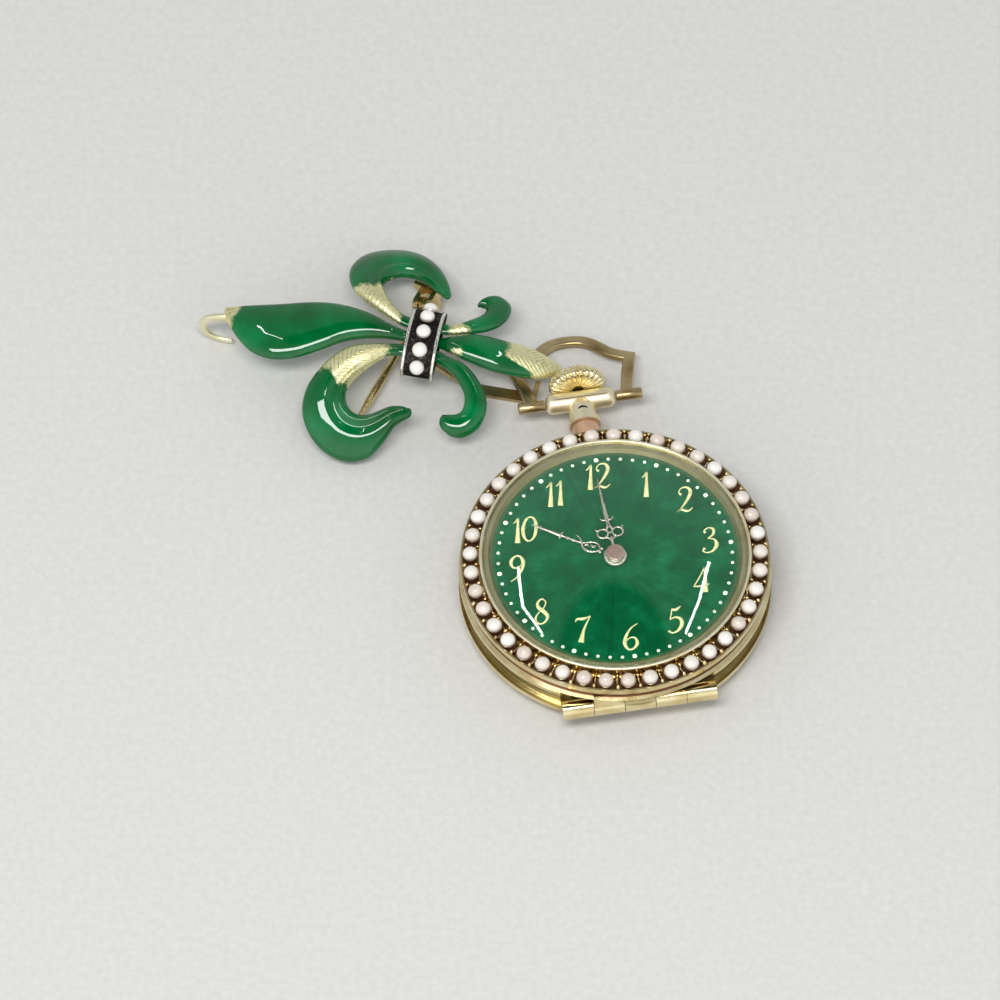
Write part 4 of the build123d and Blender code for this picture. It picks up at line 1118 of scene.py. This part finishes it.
# Strokes of each digit in a box one high: right, up, half width
six = [
    (0.44, 1.0, 0.014), (0.22, 0.85, 0.022), (0.06, 0.55, 0.046), (0.03, 0.26, 0.058), (0.16, 0.03, 0.03),
    (0.34, 0.03, 0.03), (0.46, 0.22, 0.052), (0.38, 0.44, 0.03), (0.22, 0.48, 0.018), (0.09, 0.38, 0.014)
]
digits = {
    "0": [loop_rows(0.26, 0.5, 0.23, 0.48, 0.055, 0.02)],
    "1": [
        [(0.02, 0.80, 0.012), (0.10, 0.87, 0.022), (0.17, 0.98, 0.03)],
        [(0.18, 1.0, 0.03), (0.185, 0.5, 0.05), (0.19, 0.0, 0.085)],
    ],
    "2": [
        [
            (0.13, 0.70, 0.045),
            (0.04, 0.80, 0.02),
            (0.12, 0.96, 0.018),
            (0.32, 0.97, 0.034),
            (0.44, 0.78, 0.058),
            (0.36, 0.50, 0.045),
            (0.14, 0.16, 0.02),
            (0.0, 0.03, 0.014),
        ],
        [
            (0.0, 0.04, 0.012), (0.14, 0.11, 0.032), (0.30, 0.03, 0.04), (0.42, 0.02, 0.024),
            (0.54, 0.12, 0.01)
        ],
    ],
    "3": [
        [
            (0.10, 0.80, 0.045),
            (0.05, 0.90, 0.02),
            (0.20, 0.99, 0.018),
            (0.37, 0.90, 0.042),
            (0.36, 0.70, 0.035),
            (0.18, 0.57, 0.014),
        ],
        [
            (0.18, 0.57, 0.014),
            (0.40, 0.50, 0.03),
            (0.50, 0.28, 0.062),
            (0.38, 0.05, 0.034),
            (0.18, 0.0, 0.018),
            (0.03, 0.09, 0.02),
            (0.09, 0.20, 0.045),
        ],
    ],
    "4": [
        [(0.36, 1.0, 0.022), (0.20, 0.64, 0.018), (0.0, 0.28, 0.018)],
        [(0.0, 0.28, 0.02), (0.26, 0.27, 0.022), (0.54, 0.30, 0.018)],
        [(0.37, 1.0, 0.03), (0.40, 0.5, 0.05), (0.42, 0.0, 0.078)],
    ],
    "5": [
        [(0.12, 0.96, 0.02), (0.10, 0.75, 0.018), (0.06, 0.54, 0.016)],
        [
            (0.06, 0.54, 0.014),
            (0.26, 0.61, 0.028),
            (0.44, 0.50, 0.05),
            (0.48, 0.26, 0.06),
            (0.34, 0.05, 0.034),
            (0.16, 0.0, 0.018),
            (0.03, 0.10, 0.04),
        ],
        [(0.11, 0.95, 0.026), (0.26, 0.91, 0.045), (0.42, 1.02, 0.012)],
    ],
    "6": [six],
    "7": [
        [
            (0.0, 0.84, 0.014), (0.06, 0.95, 0.03), (0.24, 0.93, 0.046), (0.42, 0.96, 0.022),
            (0.52, 1.0, 0.014)
        ],
        [(0.52, 1.0, 0.014), (0.31, 0.5, 0.036), (0.22, 0.0, 0.088)],
    ],
    "8": [
        [
            (0.40, 0.84, 0.02),
            (0.26, 0.99, 0.02),
            (0.11, 0.86, 0.036),
            (0.15, 0.66, 0.056),
            (0.34, 0.47, 0.066),
            (0.47, 0.25, 0.05),
            (0.36, 0.03, 0.026),
            (0.16, 0.02, 0.026),
            (0.05, 0.22, 0.032),
            (0.14, 0.43, 0.018),
            (0.32, 0.61, 0.016),
            (0.40, 0.84, 0.02),
        ]
    ],
    "9": [[(0.49 - right, 1.0 - up, wide) for right, up, wide in six]],
}
digit_widths = {"1": 0.34, "0": 0.58, "2": 0.62}
digit_height = 2.5
digit_slant = 0.19
digit_weight = 1.12
numeral_circle = 8.5
numeral_drift = [
    # right and up from its hour's true place, from one to twelve
    (-0.40, -0.41),
    (-0.32, 0.68),
    (-0.15, 0.50),
    (-0.43, 0.82),
    (-0.18, 0.31),
    (0.06, 0.35),
    (0.27, 0.63),
    (0.22, -0.08),
    (-0.01, 0.32),
    (0.21, -0.15),
    (0.22, -0.08),
    (-0.01, -0.04),
]
numeral_points, numeral_faces = [], []
for hour in range(1, 13):
    turn = math.radians(90 - 30 * hour)
    text = str(hour)
    widths = [digit_widths.get(letter, 0.52) for letter in text]
    drift = numeral_drift[hour - 1]
    start = numeral_circle * math.cos(turn) - sum(widths) * digit_height / 2 + drift[0]
    base = numeral_circle * math.sin(turn) - digit_height / 2 + drift[1]
    for letter, width in zip(text, widths):
        grown = [
            [
                (
                    start + (r + digit_slant * (u - 0.5)) * digit_height,
                    base + u * digit_height,
                    w * digit_height * digit_weight,
                )
                for r, u, w in rows
            ]
            for rows in digits[letter]
        ]
        add_strokes(grown, watch_point, dial_level - 0.02, dial_level + 0.03, numeral_points, numeral_faces)
        start += width * digit_height
numerals = add_mesh("hour_numerals", numeral_points, numeral_faces, paint, "watch")

# Hands
# Two pierced hands of pale gold, sawn out by hand into scrolls and beads and polished on top, held
# down by a rose gold cap on the centre arbor.
hand_gold = gold_material("pierced_hand_gold", "#DDD2BE", "#F8F1E4", "#A8967C", 0.2)
rose_gold = gold_material("rose_gold_cap", "#DDB3A2", "#F2D0C4", "#C09280", 0.25)


def mirrored(strokes):
    """The strokes with their mirror images across the hand's length."""
    return strokes + [[(-right, up, wide) for right, up, wide in rows] for rows in strokes]


hand_designs = [
    # name, solid, body, turn from twelve in degrees, height, strokes
    (
        "pierced_hour_hand",
        "hour_hand",
        "hour_hand",
        57.0,
        6.3,
        [
            # the long scroll, the short one with its leaf, and the beads
            [
                (0.02, 1.4, 0.09),
                (-0.34, 1.8, 0.08),
                (-0.52, 2.35, 0.10),
                (-0.32, 2.9, 0.10),
                (0.12, 3.25, 0.09),
                (0.42, 3.55, 0.07),
                (0.56, 3.95, 0.03),
            ],
            [
                (0.08, 1.45, 0.06), (0.42, 1.75, 0.07), (0.5, 2.2, 0.07), (0.3, 2.65, 0.07),
                (0.02, 3.1, 0.07)
            ],
            [(0.28, 1.9, 0.03), (0.05, 2.1, 0.11), (0.16, 2.4, 0.03)],
            [(-0.1, 2.5, 0.03), (0.02, 2.65, 0.09), (-0.12, 2.85, 0.03)],
            [(0.0, 3.05, 0.08), (0.0, 3.8, 0.07), (0.0, 4.9, 0.07)],
            [(-0.17, 1.22, 0.04), (-0.19, 1.36, 0.13), (-0.17, 1.5, 0.04)],
            [(0.17, 1.22, 0.04), (0.19, 1.36, 0.13), (0.17, 1.5, 0.04)],
            [(0.0, 3.74, 0.05), (0.0, 3.92, 0.18), (0.0, 4.1, 0.05)],
            [(0.0, 4.28, 0.05), (0.0, 4.45, 0.17), (0.0, 4.62, 0.05)],
            [
                (-0.4, 5.02, 0.02), (-0.2, 5.14, 0.10), (0.0, 5.06, 0.08), (0.2, 5.14, 0.10),
                (0.4, 5.02, 0.02)
            ],
            [(0.0, 4.8, 0.08), (0.0, 5.4, 0.16), (0.0, 6.0, 0.13), (0.0, 6.9, 0.09), (0.0, 7.84, 0.045)],
            [(-0.26, 6.86, 0.02), (0.0, 6.98, 0.08), (0.24, 7.14, 0.02)],
        ],
    ),
    (
        "pierced_minute_hand",
        "minute_hand",
        "minute_hand",
        2.2,
        6.6,
        mirrored(
            [
                loop_rows(0.66, 2.2, 0.46, 0.44, 0.085, 0.075),
                [(0.03, 1.3, 0.07), (0.2, 1.65, 0.07), (0.5, 1.78, 0.07)],
                [(0.08, 3.55, 0.07), (0.1, 3.0, 0.07), (0.3, 2.55, 0.07)],
                [(0.0, 3.5, 0.05), (0.3, 3.52, 0.08), (0.62, 3.72, 0.03)],
                [(1.0, 2.5, 0.05), (1.14, 2.62, 0.08), (1.2, 2.78, 0.02)],
            ]
        )
        + [
            loop_rows(0.0, 2.5, 0.22, 0.3, 0.06, 0.05),
            [(0.0, 0.8, 0.12), (0.0, 1.35, 0.12), (0.0, 1.8, 0.07)],
            [(0.0, 3.35, 0.09), (0.0, 3.75, 0.19), (0.0, 4.6, 0.14), (0.0, 6.0, 0.10), (0.0, 7.84, 0.04)],
        ],
    ),
]
hand_thickness = 0.14
for name, solid, body, turn_deg, height, strokes in hand_designs:
    turn = math.radians(turn_deg)

    def on_hand(right, up, level):
        """A point of this hand, turned to its hour."""
        return watch_point(
            right * math.cos(turn) - up * math.sin(turn), right * math.sin(turn) + up * math.cos(turn),
            level
        )

    points, faces = [], []
    add_strokes(strokes, on_hand, height, height + hand_thickness - 0.04, points, faces, crest=0.04)
    hub = 1.0 if body == "hour_hand" else 0.8
    hub_rows = ((0.3, 0.0), (hub, 0.0), (hub, 0.1), (hub - 0.06, 0.14), (0.3, 0.14))
    rings = [watch_ring(radius, height + level, 40) for radius, level in hub_rows]
    faces += skin(rings, len(points), capped=False)
    points += [p for ring in rings for p in ring]
    hand = add_mesh(name, points, faces, hand_gold, body)
    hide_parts(solid)
dress("hand_cap", rose_gold)

# Crystal
# A domed watch glass snapped into the lip. It is clear and polished, and shows itself by the lamps
# along its edge and a faint veil across the dial. It is drawn thin, so each lamp shows once.
glass = new_material("domed_watch_glass")
glass_place = add_node(glass, "TexCoord").outputs["Object"]
glass_polish = add_node(
    glass, "TexNoise", {"Scale": 1 / (6 * MM), "Detail": 1.0}, {"Vector": glass_place}
)
glass_bump = add_node(glass, "Bump", {"Strength": 0.05, "Distance": 0.05 * MM}, {"Height": glass_polish})
glass_body = add_node(
    glass, "BsdfPrincipled",
    {"Base Color": linear("#FAFDFB"), "Transmission Weight": 1.0, "IOR": 1.5, "Roughness": 0.0},
    {"Normal": glass_bump}
)
glass_light = add_node(glass, "LightPath")
glass_clear = add_node(glass, "BsdfTransparent")
glass_mix = add_node(
    glass, "MixShader", links={0: glass_light.outputs["Is Shadow Ray"], 1: glass_body, 2: glass_clear}
)
finish_material(glass, glass_mix)
glass_radius = 11.4
glass_edge_height = 6.76
glass_crown_height = 8.2
glass_wall = 0.1
glass_rise = glass_crown_height - glass_edge_height
glass_sphere = (glass_radius**2 + glass_rise**2) / (2 * glass_rise)
glass_foot = glass_edge_height - 0.3
glass_steps = 40
glass_rows = []
for shell, steps in ((glass_wall, range(1, glass_steps + 1)), (0.0, range(glass_steps, 0, -1))):
    for i in steps:
        out = glass_radius * math.sin(math.pi / 2 * i / glass_steps)
        drop = glass_sphere - math.sqrt(glass_sphere**2 - out**2)
        glass_rows.append((out, glass_crown_height - shell - drop))
glass_rows[glass_steps:glass_steps] = [(glass_radius - glass_wall, glass_foot), (glass_radius, glass_foot)]
glass_rings = [watch_ring(out, height, 96) for out, height in glass_rows]
crystal = add_tube("domed_crystal", glass_rings, glass, "bezel")
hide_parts("crystal")
